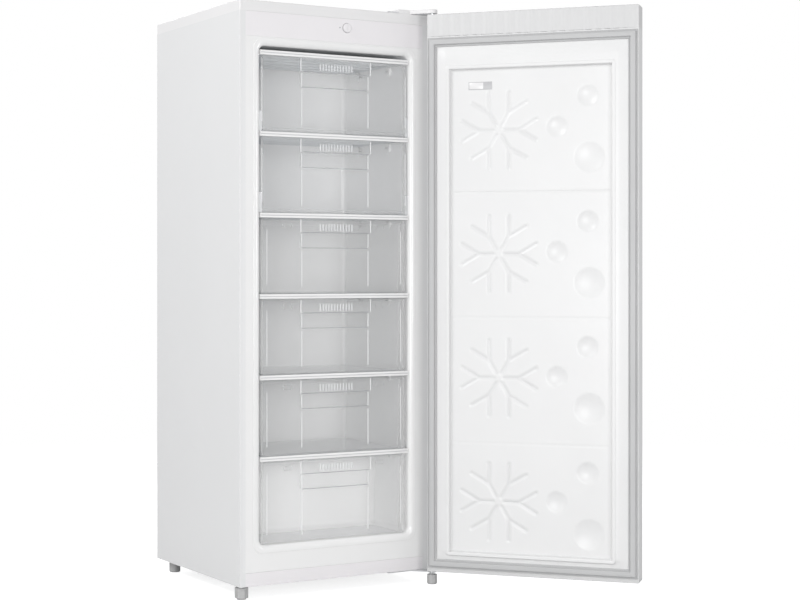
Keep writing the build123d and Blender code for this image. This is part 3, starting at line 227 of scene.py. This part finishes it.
# painted highlight: semi-opaque white rods on the clear fronts' rims where they catch light
painted_rim_highlight = finish("clear_rim_painted_highlight", (0.95, 0.955, 0.96), 0.15, mottle=0.02, grain=400, alpha=0.85)
# painted shade: semi-opaque grey rods along the clear fronts' recess edges
painted_rim_shade = finish("clear_rim_painted_shade", (0.42, 0.43, 0.44), 0.15, mottle=0.02, grain=400, alpha=0.5)

slot_material = {
    "white_steel": paint, "zinc_steel": zinc, "white_plastic": top_plastic,
    "liner_plastic": liner_plastic, "foam": foam, "evaporator_plate": plate_metal,
    "evaporator_tube": tube_paint, "clear_plastic": clear, "gasket": rubber_grey,
    "hinge_steel": steel, "bush_plastic": bush_plastic, "foot_plastic": foot_grey,
    "black_steel": black_paint, "copper": copper, "black_rubber": black_rubber,
    "black_plastic": black_plastic,
}
own_material = {
    "flap_pivots": frosted_and_rib_highlight,
    **{f"drawer_tray_{n}": clear_tray for n in range(3, 7)},
    "control_panel": panel_plastic, "plinth": panel_plastic, "thermostat_knob": panel_plastic,
    "door_liner": door_plastic_painted_shade, "door_top_cap": cap_plastic_painted_shade, "door_bottom_cap": cap_plastic_painted_shade,
}
slots = {part["node"]: part["material_slot"] for part in frame["record"]["subparts"]}
for name, node in nodes.items():
    material = own_material.get(name) or slot_material[slots[name]]
    node.data.materials.clear()
    node.data.materials.append(material)

# ---------------------------------------------------------------- modelled pieces
HINGE_PLACE = Matrix.Translation((hinge.x, hinge.y, 0)) @ Matrix.Rotation(DOOR_ANGLE, 4, "Z")
DOOR_WIDTH = 550 * MM
SHARP = radians(32)  # edges that bend more than this stay sharp


def add_piece(name, verts, faces, material, body, slot, place, replaced=()):
    """Closed mesh from points in the frame of the cabinet or the shut door, riding on a body."""
    mesh = bpy.data.meshes.new(name)
    mesh.from_pydata([tuple(v) for v in verts], [], faces)
    mesh.transform(place)
    mesh.validate()
    shape = bmesh.new()
    shape.from_mesh(mesh)
    bmesh.ops.recalc_face_normals(shape, faces=shape.faces)
    shape.to_mesh(mesh)
    shape.free()
    mesh.shade_smooth()
    mesh.set_sharp_from_angle(angle=SHARP)
    piece = bpy.data.objects.new(name, mesh)
    bpy.context.scene.collection.objects.link(piece)
    mesh.materials.append(material)
    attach(piece, body)
    if replaced:
        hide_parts(*replaced)
    return piece


def on_door(u, z, out):
    """Point of the shut door: u from its hinge edge, z from the floor, out from its inner plane."""
    return (HINGE_INSET - u, DOOR_SETBACK + out, z)


# ---- door liner: ridge, sunk field, and a soft-edged snowflake pattern
RIDGE = (50 * MM, 494 * MM, 80 * MM, 1350 * MM)
RIDGE_CORNER = 10 * MM
RIDGE_WIDTH = 13 * MM
RIDGE_PROUD = 7 * MM
WELL = 4 * MM
LINER_WALL = 2 * MM
GASKET = (2 * MM, 548 * MM, 46 * MM, 1423 * MM)
GASKET_WIDTH = 24 * MM
BORDER_RISE, BORDER_RUN = 6 * MM, 24 * MM  # slope from the gasket up to the ridge
RIDGE_LEAD, RISE_RUN, FALL_RUN = 1.5 * MM, 4.2 * MM, 3.4 * MM  # soft edges of the ridge
FIELD_MARGIN, FIELD_BLEND = 2 * MM, 4 * MM
LINER_INSET, LINER_LOW, LINER_HIGH = 0.5 * MM, 43.2 * MM, 1426 * MM
RIM_SPAN, FINE_STEP, FIELD_STEP, PLAIN_STEP = 16 * MM, 1.5 * MM, 3.2 * MM, 12 * MM
FLAKE_AT = [(190 * MM, (224 + 318.3 * cell) * MM) for cell in range(4)]
FLAKE_HUB, FLAKE_STEM, FLAKE_FORK = 14 * MM, 52 * MM, 53 * MM
FLAKE_HALF = 6.5 * MM
FLAKE_DEPTH = 2.6 * MM
DIMPLES = ((420, 83, 27), (341, 6, 27), (424, -73, 39))  # from the hinge edge, up from a flake, radius
DIMPLE_DEPTH = 5.2 * MM
DIVIDERS = [(373 + 323.5 * row) * MM for row in range(3)]
DIVIDER_HALF = 2.2 * MM
DIVIDER_DEPTH = 1.3 * MM


def smooth(value):
    """Ease from 0 to 1 while the value runs from 0 to 1."""
    value = np.clip(value, 0, 1)
    return value * value * (3 - 2 * value)


def to_segment(u, z, start, end):
    """Distance from each point to the segment from start to end."""
    along = np.subtract(end, start)
    share = ((u - start[0]) * along[0] + (z - start[1]) * along[1]) / (along @ along)
    share = np.clip(share, 0, 1)
    return np.hypot(u - start[0] - share * along[0], z - start[1] - share * along[1])


def flake_distance(u, z, centre):
    """Distance to the snowflake's six forked arms."""
    best = np.full(u.shape, 1.0)
    for arm in range(6):
        turn = arm * pi / 3
        way = np.array((cos(turn), sin(turn)))
        hub, knot = centre + FLAKE_HUB * way, centre + FLAKE_STEM * way
        best = np.minimum(best, to_segment(u, z, hub, knot))
        for fork in (-pi / 6, pi / 6):
            tip = knot + FLAKE_FORK * np.array((cos(turn + fork), sin(turn + fork)))
            best = np.minimum(best, to_segment(u, z, knot, tip))
    return best


def liner_relief(u, z):
    """Height over the door's inner plane, and how deep in a groove a point lies, from 0 to 1."""
    mid_u, mid_z = (RIDGE[0] + RIDGE[1]) / 2, (RIDGE[2] + RIDGE[3]) / 2
    side_u = np.abs(u - mid_u) - (RIDGE[1] - RIDGE[0]) / 2 + RIDGE_CORNER
    side_z = np.abs(z - mid_z) - (RIDGE[3] - RIDGE[2]) / 2 + RIDGE_CORNER
    inside = np.minimum(np.maximum(side_u, side_z), 0)
    edge = np.hypot(np.maximum(side_u, 0), np.maximum(side_z, 0)) + inside - RIDGE_CORNER
    across = np.minimum(u - GASKET[0], GASKET[1] - u)
    from_gasket = np.minimum(across, np.minimum(z - GASKET[2], GASKET[3] - z))
    border = BORDER_RISE * np.clip((from_gasket - GASKET_WIDTH) / BORDER_RUN, 0, 1)
    rise = np.maximum(border, RIDGE_PROUD * smooth((RIDGE_LEAD - edge) / RISE_RUN))
    fall = -WELL + (RIDGE_PROUD + WELL) * smooth((edge + RIDGE_WIDTH) / FALL_RUN)
    height = np.where(edge < 0, np.minimum(rise, fall), rise)
    groove = np.zeros(u.shape)
    for centre in FLAKE_AT:
        groove = np.maximum(groove, 1 - smooth(flake_distance(u, z, np.array(centre)) / FLAKE_HALF))
    pressed = FLAKE_DEPTH * groove
    for centre in FLAKE_AT:
        for from_hinge, up, radius in DIMPLES:
            away = np.hypot(u - from_hinge * MM, z - centre[1] - up * MM) / (radius * MM)
            pressed = np.maximum(pressed, DIMPLE_DEPTH * np.clip(1 - away**2, 0, 1))
    in_field = smooth((-edge - RIDGE_WIDTH - FIELD_MARGIN) / FIELD_BLEND)
    for level in DIVIDERS:
        pressed = np.maximum(pressed, DIVIDER_DEPTH * (1 - smooth(np.abs(z - level) / DIVIDER_HALF)))
    return height - pressed * in_field, groove


def spread(limits, step):
    """Grid lines: each stretch between two limits is divided evenly, in steps of about a size."""
    lines = [limits[0]]
    for low, high, size in zip(limits, limits[1:], step):
        count = max(1, round((high - low) / size))
        lines += [low + (high - low) * (i + 1) / count for i in range(count)]
    return np.array(lines)


def door_liner_form():
    """Liner as a relief over a grid, closed behind by a thin border and a box under the sunk field."""
    steps = (PLAIN_STEP, FINE_STEP, FIELD_STEP, FINE_STEP, PLAIN_STEP)
    us = spread((LINER_INSET, RIDGE[0], RIDGE[0] + RIM_SPAN, RIDGE[1] - RIM_SPAN, RIDGE[1],
                 DOOR_WIDTH - LINER_INSET), steps)
    zs = spread((LINER_LOW, RIDGE[2], RIDGE[2] + RIM_SPAN, RIDGE[3] - RIM_SPAN, RIDGE[3], LINER_HIGH),
                steps)
    u, z = np.meshgrid(us, zs, indexing="ij")
    height, groove = liner_relief(u, z)
    rows, columns = u.shape
    verts = [on_door(*point) for point in zip(u.ravel(), z.ravel(), height.ravel())]
    faces = []
    back = {}

    def behind(i, j, depth):
        key = (i, j, depth)
        if key not in back:
            back[key] = len(verts)
            verts.append(on_door(us[i], zs[j], -depth))
        return back[key]

    first_u, last_u = (np.searchsorted(us, side - MM / 2) for side in RIDGE[:2])
    first_z, last_z = (np.searchsorted(zs, side - MM / 2) for side in RIDGE[2:])
    deep = WELL + DIMPLE_DEPTH + LINER_WALL
    for i in range(rows - 1):
        for j in range(columns - 1):
            here, beyond = i * columns + j, (i + 1) * columns + j
            faces.append((here, beyond, beyond + 1, here + 1))
            if not (first_u <= i < last_u and first_z <= j < last_z):
                ring = ((i, j), (i, j + 1), (i + 1, j + 1), (i + 1, j))
                faces.append(tuple(behind(a, b, LINER_WALL) for a, b in ring))
    rim_path = [(i, 0) for i in range(rows)] + [(rows - 1, j) for j in range(1, columns)]
    rim_path += [(i, columns - 1) for i in range(rows - 2, -1, -1)]
    rim_path += [(0, j) for j in range(columns - 2, 0, -1)]
    for (a, b), (c, d) in zip(rim_path, rim_path[1:] + rim_path[:1]):
        backs = behind(a, b, LINER_WALL), behind(c, d, LINER_WALL)
        faces.append((a * columns + b, *backs, c * columns + d))
    well_path = [(i, first_z) for i in range(first_u, last_u)]
    well_path += [(last_u, j) for j in range(first_z, last_z)]
    well_path += [(i, last_z) for i in range(last_u, first_u, -1)]
    well_path += [(first_u, j) for j in range(last_z, first_z, -1)]
    for (a, b), (c, d) in zip(well_path, well_path[1:] + well_path[:1]):
        here = behind(a, b, LINER_WALL), behind(a, b, deep)
        faces.append((*here, behind(c, d, deep), behind(c, d, LINER_WALL)))
    faces.append(tuple(behind(a, b, deep) for a, b in well_path))
    piece = add_piece("door_liner_form", verts, faces, door_plastic_painted_shade, "door", "liner_plastic",
                      HINGE_PLACE, ["door_liner"])
    # the groove attribute also carries the painted shade in the snowflake grooves
    shade = piece.data.attributes.new("groove", "FLOAT", "POINT")
    values = np.zeros(len(piece.data.vertices), np.float32)
    values[: groove.size] = groove.ravel()
    shade.data.foreach_set("value", values)


# ---- gasket: dart, bellows and magnet pocket, mitred at the corners
GASKET_PROFILE = (  # inward from the gasket's outer edge and out from the door, in mm
    (0, 0), (0, 3.2), (0.8, 4.4), (2.2, 4.6), (3.0, 3.6), (4.2, 3.4), (5.0, 4.6), (5.2, 7.2),
    (6.4, 8.6), (8.2, 9.0), (12.0, 8.8), (15.6, 9.0), (17.6, 8.4), (18.4, 7.0), (18.6, 4.6),
    (19.4, 3.4), (20.6, 3.4), (21.4, 4.4), (22.8, 4.2), (24.0, 2.6), (24.0, 0))


def gasket_form():
    """The profile swept round the door's edge, through four mitred corners."""
    corners = ((0, 2, 1, 1), (1, 2, -1, 1), (1, 3, -1, -1), (0, 3, 1, -1))
    verts, faces = [], []
    count = len(GASKET_PROFILE)
    for pick_u, pick_z, way_u, way_z in corners:
        for inward, height in GASKET_PROFILE:
            reach = inward * MM
            u, z = GASKET[pick_u] + way_u * reach, GASKET[pick_z] + way_z * reach
            verts.append(on_door(u, z, height * MM))
    for corner in range(4):
        here, there = corner * count, (corner + 1) % 4 * count
        for i in range(count):
            j = (i + 1) % count
            faces.append((here + i, here + j, there + j, there + i))
    add_piece("gasket_form", verts, faces, rubber_grey, "door", "gasket", HINGE_PLACE, ["door_gasket"])


door_liner_form()
gasket_form()


def slab(corner_low, corner_high, bevel):
    """Box between two corners with its edges bevelled; returns its points and faces."""
    shape = bmesh.new()
    bmesh.ops.create_cube(shape, size=1)
    low, high = Vector(corner_low), Vector(corner_high)
    for vert in shape.verts:
        vert.co = [l + (h - l) * (c + 0.5) for l, h, c in zip(low, high, vert.co)]
    bmesh.ops.bevel(shape, geom=shape.edges[:], offset=bevel, segments=2, affect="EDGES", profile=0.5)
    verts = [v.co.copy() for v in shape.verts]
    faces = [[v.index for v in f.verts] for f in shape.faces]
    shape.free()
    return verts, faces


# ---- rating plate, left bare, on the door liner
PLATE = (110 * MM, 172 * MM, 1284.6 * MM, 1305 * MM)
PLATE_SUNK, PLATE_THICK, PLATE_BEVEL = 0.2 * MM, 0.5 * MM, 0.15 * MM
LABEL_INSET, LABEL_END, LABEL_THICK, LABEL_BEVEL = 2 * MM, 23 * MM, 0.8 * MM, 0.1 * MM
FIELD_LEVEL = -WELL
low = on_door(PLATE[1], PLATE[2], FIELD_LEVEL - PLATE_SUNK)
high = on_door(PLATE[0], PLATE[3], FIELD_LEVEL + PLATE_THICK)
add_piece("rating_plate", *slab(low, high, PLATE_BEVEL), label_grey_and_painted_shade, "door", "white_plastic",
          HINGE_PLACE)
low = on_door(PLATE[1] - LABEL_END, PLATE[2] + LABEL_INSET, FIELD_LEVEL)
high = on_door(PLATE[0] + LABEL_INSET, PLATE[3] - LABEL_INSET, FIELD_LEVEL + LABEL_THICK)
add_piece("rating_plate_face", *slab(low, high, LABEL_BEVEL), top_plastic, "door", "white_plastic",
          HINGE_PLACE)


def cylinder(start, end, radius, sides=16, points=None, faces=None):
    """Closed prism from start to end; adds to the lists given or to new ones."""
    points = [] if points is None else points
    faces = [] if faces is None else faces
    start, end = Vector(start), Vector(end)
    along = (end - start).normalized()
    across = along.orthogonal().normalized()
    other = along.cross(across)
    first = len(points)
    for centre in (start, end):
        for i in range(sides):
            turn = 2 * pi * (i + 0.5) / sides
            points.append(centre + radius * (cos(turn) * across + sin(turn) * other))
    for i in range(sides):
        j = (i + 1) % sides
        faces.append((first + i, first + j, first + sides + j, first + sides + i))
    faces.append(tuple(first + i for i in range(sides)))
    faces.append(tuple(first + sides + i for i in range(sides)))
    return points, faces


def revolved(profile, centre, along, sides=48, points=None, faces=None):
    """Closed ring or button: profile pairs are radius and height along an axis from centre."""
    points = [] if points is None else points
    faces = [] if faces is None else faces
    along = Vector(along).normalized()
    across = along.orthogonal().normalized()
    other = along.cross(across)
    first, count = len(points), len(profile)
    for i in range(sides):
        turn = 2 * pi * i / sides
        out = cos(turn) * across + sin(turn) * other
        points.extend(Vector(centre) + radius * out + height * along for radius, height in profile)
    for i in range(sides):
        here, there = first + i * count, first + (i + 1) % sides * count
        for k in range(count):
            n = (k + 1) % count
            faces.append((here + k, here + n, there + n, there + k))
    return points, faces


# ---- control panel: printed ring round the knob, and a plain dot beside it
KNOB = ((knob_low.x + knob_high.x) / 2, panel_low.y, (knob_low.z + knob_high.z) / 2)
KNOB_RADIUS = (knob_high.x - knob_low.x) / 2
FORWARD = (0, -1, 0)
NO_MOVE = Matrix.Identity(4)
PRINT = 0.12 * MM
RING_IN, RING_OUT, RING_HIGH = KNOB_RADIUS + 0.5 * MM, KNOB_RADIUS + 1.3 * MM, 0.4 * MM
ring = ((RING_IN, 0), (RING_OUT, 0), (RING_OUT, RING_HIGH), (RING_IN, RING_HIGH))
add_piece("dial_ring", *revolved(ring, KNOB, FORWARD), print_grey_and_painted_shade, "cabinet", "white_plastic", NO_MOVE)
MARK_OFF, MARK_RADIUS = 20.5 * MM, 1.7 * MM
mark = Vector(KNOB) - Vector((MARK_OFF, 0, 0))
thick = Vector((0, PRINT, 0))
add_piece("dial_mark", *cylinder(mark + thick, mark - thick, MARK_RADIUS, 24), print_grey_and_painted_shade, "cabinet",
          "white_plastic", NO_MOVE)

# ---- screw slots across the wall clips, drawn as grey rods of painted shade, and screws that hold the back panel
supports_low, supports_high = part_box("shelf_supports")
CLIP_RADIUS, CLIP_HEIGHT = 12.5 * MM, 6 * MM
CLIP_FRONT, CLIP_REAR = 93.5 * MM, 233.5 * MM  # behind a shelf's front edge
STEP_HEIGHT = 340 * MM  # below this the compressor step stands where the rear clips would be
CLIP_RIM = ((6.0 * MM, -0.4 * MM), (6.0 * MM, 1.1 * MM), (7.2 * MM, 1.1 * MM), (7.2 * MM, -0.4 * MM))
SLOT_HALF, SLOT_RADIUS = 5.4 * MM, 1.0 * MM
shelf_lows = [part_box(f"evaporator_shelf_{n}")[0] for n in range(1, 7)]
slots_made, slot_faces = [], []
buttons, button_faces = [], []
for shelf_low in shelf_lows:
    clip_z = shelf_low.z - CLIP_RADIUS
    rows = (CLIP_FRONT,) if clip_z < STEP_HEIGHT else (CLIP_FRONT, CLIP_REAR)
    for clip_y in (shelf_low.y + row for row in rows):
        for wall, inward in ((supports_low.x, 1), (supports_high.x, -1)):
            face = Vector((wall + inward * CLIP_HEIGHT, clip_y, clip_z))
            revolved(CLIP_RIM, face, (inward, 0, 0), 32, buttons, button_faces)
            reach = Vector((0, SLOT_HALF, 0))
            cylinder(face - reach, face + reach, SLOT_RADIUS, 8, slots_made, slot_faces)
add_piece("clip_rims", buttons, button_faces, top_plastic, "cabinet", "liner_plastic", NO_MOVE)
add_piece("clip_slots_painted_shade", slots_made, slot_faces, print_grey_and_painted_shade, "cabinet", "liner_plastic", NO_MOVE)

back_low, back_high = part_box("back_panel")
screws, screw_faces = [], []
SCREW_ROWS, SCREW_SIDE, SCREW_END = 6, 9 * MM, 60 * MM
HEAD = ((0.01 * MM, 0), (3.8 * MM, 0), (3.8 * MM, 0.8 * MM), (2.8 * MM, 2.0 * MM),
        (0.01 * MM, 2.3 * MM))
screw_step = (back_high.z - back_low.z - 2 * SCREW_END) / (SCREW_ROWS - 1)
for side_x in (back_low.x + SCREW_SIDE, back_high.x - SCREW_SIDE):
    for row in range(SCREW_ROWS):
        height = back_low.z + SCREW_END + row * screw_step
        revolved(HEAD, (side_x, back_high.y, height), (0, 1, 0), 20, screws, screw_faces)
add_piece("back_screws", screws, screw_faces, zinc, "cabinet", "zinc_steel", NO_MOVE)

# ---- the condenser's fine wires, between the stout ones and on the panel's side of the tube
coil_low, coil_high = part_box("condenser")
FINE_WIRE, WIRE_COUNT = 0.75 * MM, 53
WIRE_SIDE, WIRE_END, WIRE_SUNK = 38 * MM, 4 * MM, 1.0 * MM
WIRE_PROUD = 0.6  # share of a wire's radius that its axis stands off the coil's inner side
wires, wire_faces = [], []
wire_start, wire_stop = coil_low.x + WIRE_SIDE, coil_high.x - WIRE_SIDE
for i in range(WIRE_COUNT):
    x = wire_start + (wire_stop - wire_start) * i / (WIRE_COUNT - 1)
    for y in (coil_high.y - WIRE_SUNK, coil_low.y - FINE_WIRE * WIRE_PROUD):
        foot, tip = (x, y, coil_low.z + WIRE_END), (x, y, coil_high.z - WIRE_END)
        cylinder(foot, tip, FINE_WIRE, 6, wires, wire_faces)
add_piece("condenser_wires", wires, wire_faces, black_paint, "cabinet", "black_steel", NO_MOVE)


# ---- clear fronts: every second rib of the grips and their rims get painted highlights where they catch light, and the recess edges get painted shade lines
RIBS, RIB_PITCH, RIB_HALF, RIB_RADIUS = 12, 8.4 * MM, 8.75 * MM, 1.5 * MM
GRIP_TO_RIBS = 21 * MM
GRIP_HALF, GRIP_HEIGHT, GRIP_PROUD = 102 * MM, 35 * MM, 5 * MM
RECESS_HALF, RECESS_HEIGHT = 97 * MM, 38 * MM
PANEL_GAPS = (4 * MM, 14 * MM)  # over the middle panel and under it
RIM, ROD_SUNK = 0.9 * MM, 0.4  # radius of a rim; share of a rod's radius that its axis is sunk
END_GAP, PANEL_END_GAP = 2 * MM, 3 * MM
FLAP_SIDE, DRAWER_SIDE = 5 * MM, 13 * MM
SIDE_LOW, SIDE_HIGH = 0.12, 0.15  # shares of a front's height that its side rims leave free
front_bodies = {"flap_1": "flap_upper", "flap_2": "flap_lower"}
front_bodies.update({f"drawer_front_{n}": f"drawer_{n}" for n in range(3, 7)})


def rod(into, start, end, y, radius):
    """Rod from one (x, z) to another along a front whose face is at y."""
    (x0, z0), (x1, z1) = start, end
    axis_y = y + radius * ROD_SUNK
    cylinder((x0, axis_y, z0), (x1, axis_y, z1), radius, 8, *into)


for front, body in front_bodies.items():
    front_low, front_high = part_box(front)
    grip_y, face_y, high = front_low.y, front_low.y + GRIP_PROUD, front_high.z
    recess_z, recess_end = high - GRIP_HEIGHT, high - GRIP_HEIGHT - RECESS_HEIGHT
    ribs, lights, painted_shades = ([], []), ([], []), ([], [])
    for i in range(RIBS):
        x = centre_x + (i - (RIBS - 1) / 2) * RIB_PITCH
        middle = high - GRIP_TO_RIBS
        rod(ribs, (x, middle - RIB_HALF), (x, middle + RIB_HALF), grip_y, RIB_RADIUS)
    side = DRAWER_SIDE if front.startswith("drawer") else FLAP_SIDE
    side_half = (front_high.x - front_low.x) / 2 - side
    height = high - front_low.z
    panel_low_z = front_low.z + PANEL_GAPS[1] + PANEL_END_GAP
    panel_high_z = recess_end - PANEL_GAPS[0] - PANEL_END_GAP
    # painted highlights on the grip, recess, panel and side rims
    for way in (-1, 1):
        x = centre_x + way * GRIP_HALF
        rod(lights, (x, recess_z + END_GAP), (x, high - END_GAP), grip_y, RIM)
        x = centre_x + way * RECESS_HALF
        rod(lights, (x, recess_end + END_GAP), (x, recess_z - END_GAP), face_y, RIM)
        rod(lights, (x, panel_low_z), (x, panel_high_z), face_y, RIM)
        x = centre_x + way * side_half
        low_z, high_z = front_low.z + SIDE_LOW * height, high - SIDE_HIGH * height
        rod(lights, (x, low_z), (x, high_z), face_y, RIM)
    # painted shade lines along the top and bottom edges of each recess
    reach = RECESS_HALF - END_GAP
    for z, y in ((recess_z + MM, grip_y), (recess_end, face_y)):
        rod(painted_shades, (centre_x - reach, z), (centre_x + reach, z), y, RIM)
    for name, made, material in (("grip_ribs", ribs, frosted_and_rib_highlight), ("front_rims", lights, painted_rim_highlight),
                                 ("recess_rims", painted_shades, painted_rim_shade)):
        add_piece(f"{name}_{front[-1]}", *made, material, body, "clear_plastic", NO_MOVE)

# ---- painted shade line: a grey strip in the groove of each shelf trim
GROOVE_HALF, GROOVE_IN, GROOVE_BACK = 1.0 * MM, 0.4 * MM, 3 * MM
GROOVE_END, GROOVE_BEVEL = 1.5 * MM, 0.2 * MM
for number in range(1, 7):
    trim_low, trim_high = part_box(f"shelf_trim_{number}")
    middle = (trim_low.z + trim_high.z) / 2
    low = (trim_low.x + GROOVE_END, trim_low.y + GROOVE_IN, middle - GROOVE_HALF)
    high = (trim_high.x - GROOVE_END, trim_low.y + GROOVE_BACK, middle + GROOVE_HALF)
    add_piece(f"trim_groove_painted_shade_{number}", *slab(low, high, GROOVE_BEVEL), label_grey_and_painted_shade, "cabinet",
              "white_plastic", NO_MOVE)

# ---- soft flutes across the inner face of the door's top cap
FLUTES, FLUTE_STEPS, FLUTE_RISE = 19, 12, 1.6 * MM
FLUTE_PROUD, FLUTE_BACK = 0.2 * MM, -0.6 * MM
FLUTE_BOX = (1.5 * MM, 548.5 * MM, 1427 * MM, 1483 * MM)


def fluted_face():
    """Strip with a smooth wave over the cap's face, closed behind."""
    us = np.linspace(FLUTE_BOX[0], FLUTE_BOX[1], FLUTE_STEPS * FLUTES + 1)
    turns = 2 * pi * FLUTES * (us - us[0]) / (us[-1] - us[0])
    outs = FLUTE_PROUD + FLUTE_RISE * (0.5 - 0.5 * np.cos(turns))
    verts, faces = [], []
    for u, out in zip(us, outs):
        low, high = FLUTE_BOX[2:]
        section = ((low, FLUTE_BACK), (low, out), (high, out), (high, FLUTE_BACK))
        verts.extend(on_door(u, z, level) for z, level in section)
    for i in range(len(us) - 1):
        here, there = 4 * i, 4 * i + 4
        faces += [(here + k, there + k, there + (k + 1) % 4, here + (k + 1) % 4) for k in range(4)]
    faces += [(0, 1, 2, 3), tuple(range(len(verts) - 4, len(verts)))]
    add_piece("cap_flutes", verts, faces, cap_plastic_painted_shade, "door", "white_plastic", HINGE_PLACE)


fluted_face()

# ---------------------------------------------------------------- camera, floor and light
CAMERA_FROM_CABINET = Vector((-2124.07, -3754.78, 812.2)) * MM  # cabinet's middle, front flange, floor
YAW = radians(30.07)
FOCAL_PIXELS = 1690.66
PRINCIPAL = (353.61, 272.96)
IMAGE = (800, 600)
SENSOR = 36.0

camera_data = bpy.data.cameras.new("camera")
camera_data.sensor_width = SENSOR
camera_data.lens = FOCAL_PIXELS / IMAGE[0] * SENSOR
camera_data.shift_x = (IMAGE[0] / 2 - PRINCIPAL[0]) / IMAGE[0]
camera_data.shift_y = (PRINCIPAL[1] - IMAGE[1] / 2) / IMAGE[0]
camera = bpy.data.objects.new("camera", camera_data)
camera.location = Vector((centre_x, front_y, 0)) + CAMERA_FROM_CABINET
camera.rotation_euler = (radians(90), 0, -YAW)
bpy.context.scene.collection.objects.link(camera)
bpy.context.scene.camera = camera


def area_light(name, place, target, size, power):
    """Rectangular lamp at a place, turned to its target."""
    data = bpy.data.lights.new(name, "AREA")
    data.shape = "RECTANGLE"
    data.size, data.size_y = size
    data.energy = power
    lamp = bpy.data.objects.new(name, data)
    lamp.location = place
    lamp.rotation_euler = (Vector(target) - Vector(place)).to_track_quat("-Z", "Y").to_euler()
    bpy.context.scene.collection.objects.link(lamp)


area_light("key", (-3.9, -0.35, 3.3), (0.2, -0.25, 0.75), (1.1, 1.1), 68)
area_light("front", (0.0, -4.6, 1.2), (-0.19, 0.1, 0.8), (1.4, 1.4), 49)
area_light("fill", (-3.1, -3.4, 0.85), (0.0, 0.2, 0.7), (1.2, 1.2), 60)
area_light("right", (3.4, -3.6, 1.2), (0.3, -0.3, 0.8), (1.2, 1.2), 34)
area_light("side", (-4.2, 1.0, 2.8), (-0.46, 0.25, 1.3), (1.6, 1.2), 30)
area_light("back", (1.0, 4.2, 2.6), (0, 0.4, 0.8), (2.6, 2.0), 50)

SKY_LIGHT = 0.52  # what lights the object, against a backdrop that the camera sees as white
world = bpy.data.worlds.new("studio")
world.use_nodes = True
sky = world.node_tree
backdrop = sky.nodes["Background"]
backdrop.inputs["Color"].default_value = (1, 1, 1, 1)
backdrop.inputs["Strength"].default_value = 1.0
soft_light = sky.nodes.new("ShaderNodeBackground")
soft_light.inputs["Color"].default_value = (0.985, 0.99, 1, 1)
soft_light.inputs["Strength"].default_value = SKY_LIGHT
choice = sky.nodes.new("ShaderNodeMixShader")
rays = sky.nodes.new("ShaderNodeLightPath")
sky.links.new(rays.outputs["Is Camera Ray"], choice.inputs["Fac"])
sky.links.new(soft_light.outputs["Background"], choice.inputs[1])
sky.links.new(backdrop.outputs["Background"], choice.inputs[2])
sky.links.new(choice.outputs["Shader"], sky.nodes["World Output"].inputs["Surface"])
bpy.context.scene.world = world
bpy.context.scene.view_settings.view_transform = "Standard"
bpy.context.scene.cycles.transparent_max_bounces = 48  # many clear walls stand behind each other
bpy.context.scene.cycles.max_bounces = 16
bpy.context.scene.cycles.diffuse_bounces = 8

FLOOR_RADIUS = 5.0
FLOOR_CLEAR, FLOOR_END = 1.3, 4.0  # from the middle: where the floor starts to fade, and is gone
FLOOR_GLOW = 0.8
floor_shape = bmesh.new()
bmesh.ops.create_circle(floor_shape, cap_ends=True, radius=FLOOR_RADIUS, segments=96)
floor_mesh = bpy.data.meshes.new("floor")
floor_shape.to_mesh(floor_mesh)
floor_shape.free()
floor = bpy.data.objects.new("floor", floor_mesh)
bpy.context.scene.collection.objects.link(floor)
floor_paint, parts, links, shader = tree_of("floor")
shader.inputs["Base Color"].default_value = (0.6, 0.6, 0.6, 1)
shader.inputs["Roughness"].default_value = 0.75
shader.inputs["Specular IOR Level"].default_value = 0.2
shader.inputs["Emission Color"].default_value = (1, 1, 1, 1)
seen = parts.new("ShaderNodeLightPath")
glow = parts.new("ShaderNodeMath")
glow.operation = "MULTIPLY"
glow.inputs[1].default_value = FLOOR_GLOW
links.new(seen.outputs["Is Camera Ray"], glow.inputs[0])
links.new(glow.outputs["Value"], shader.inputs["Emission Strength"])
here = parts.new("ShaderNodeTexCoord")
away = parts.new("ShaderNodeVectorMath")
away.operation = "LENGTH"
fade = parts.new("ShaderNodeMapRange")
fade.interpolation_type = "SMOOTHSTEP"
fade.inputs["From Min"].default_value = FLOOR_CLEAR
fade.inputs["From Max"].default_value = FLOOR_END
fade.inputs["To Min"].default_value = 1.0
fade.inputs["To Max"].default_value = 0.0
links.new(here.outputs["Object"], away.inputs[0])
links.new(away.outputs["Value"], fade.inputs["Value"])
links.new(fade.outputs["Result"], shader.inputs["Alpha"])
floor.data.materials.append(floor_paint)
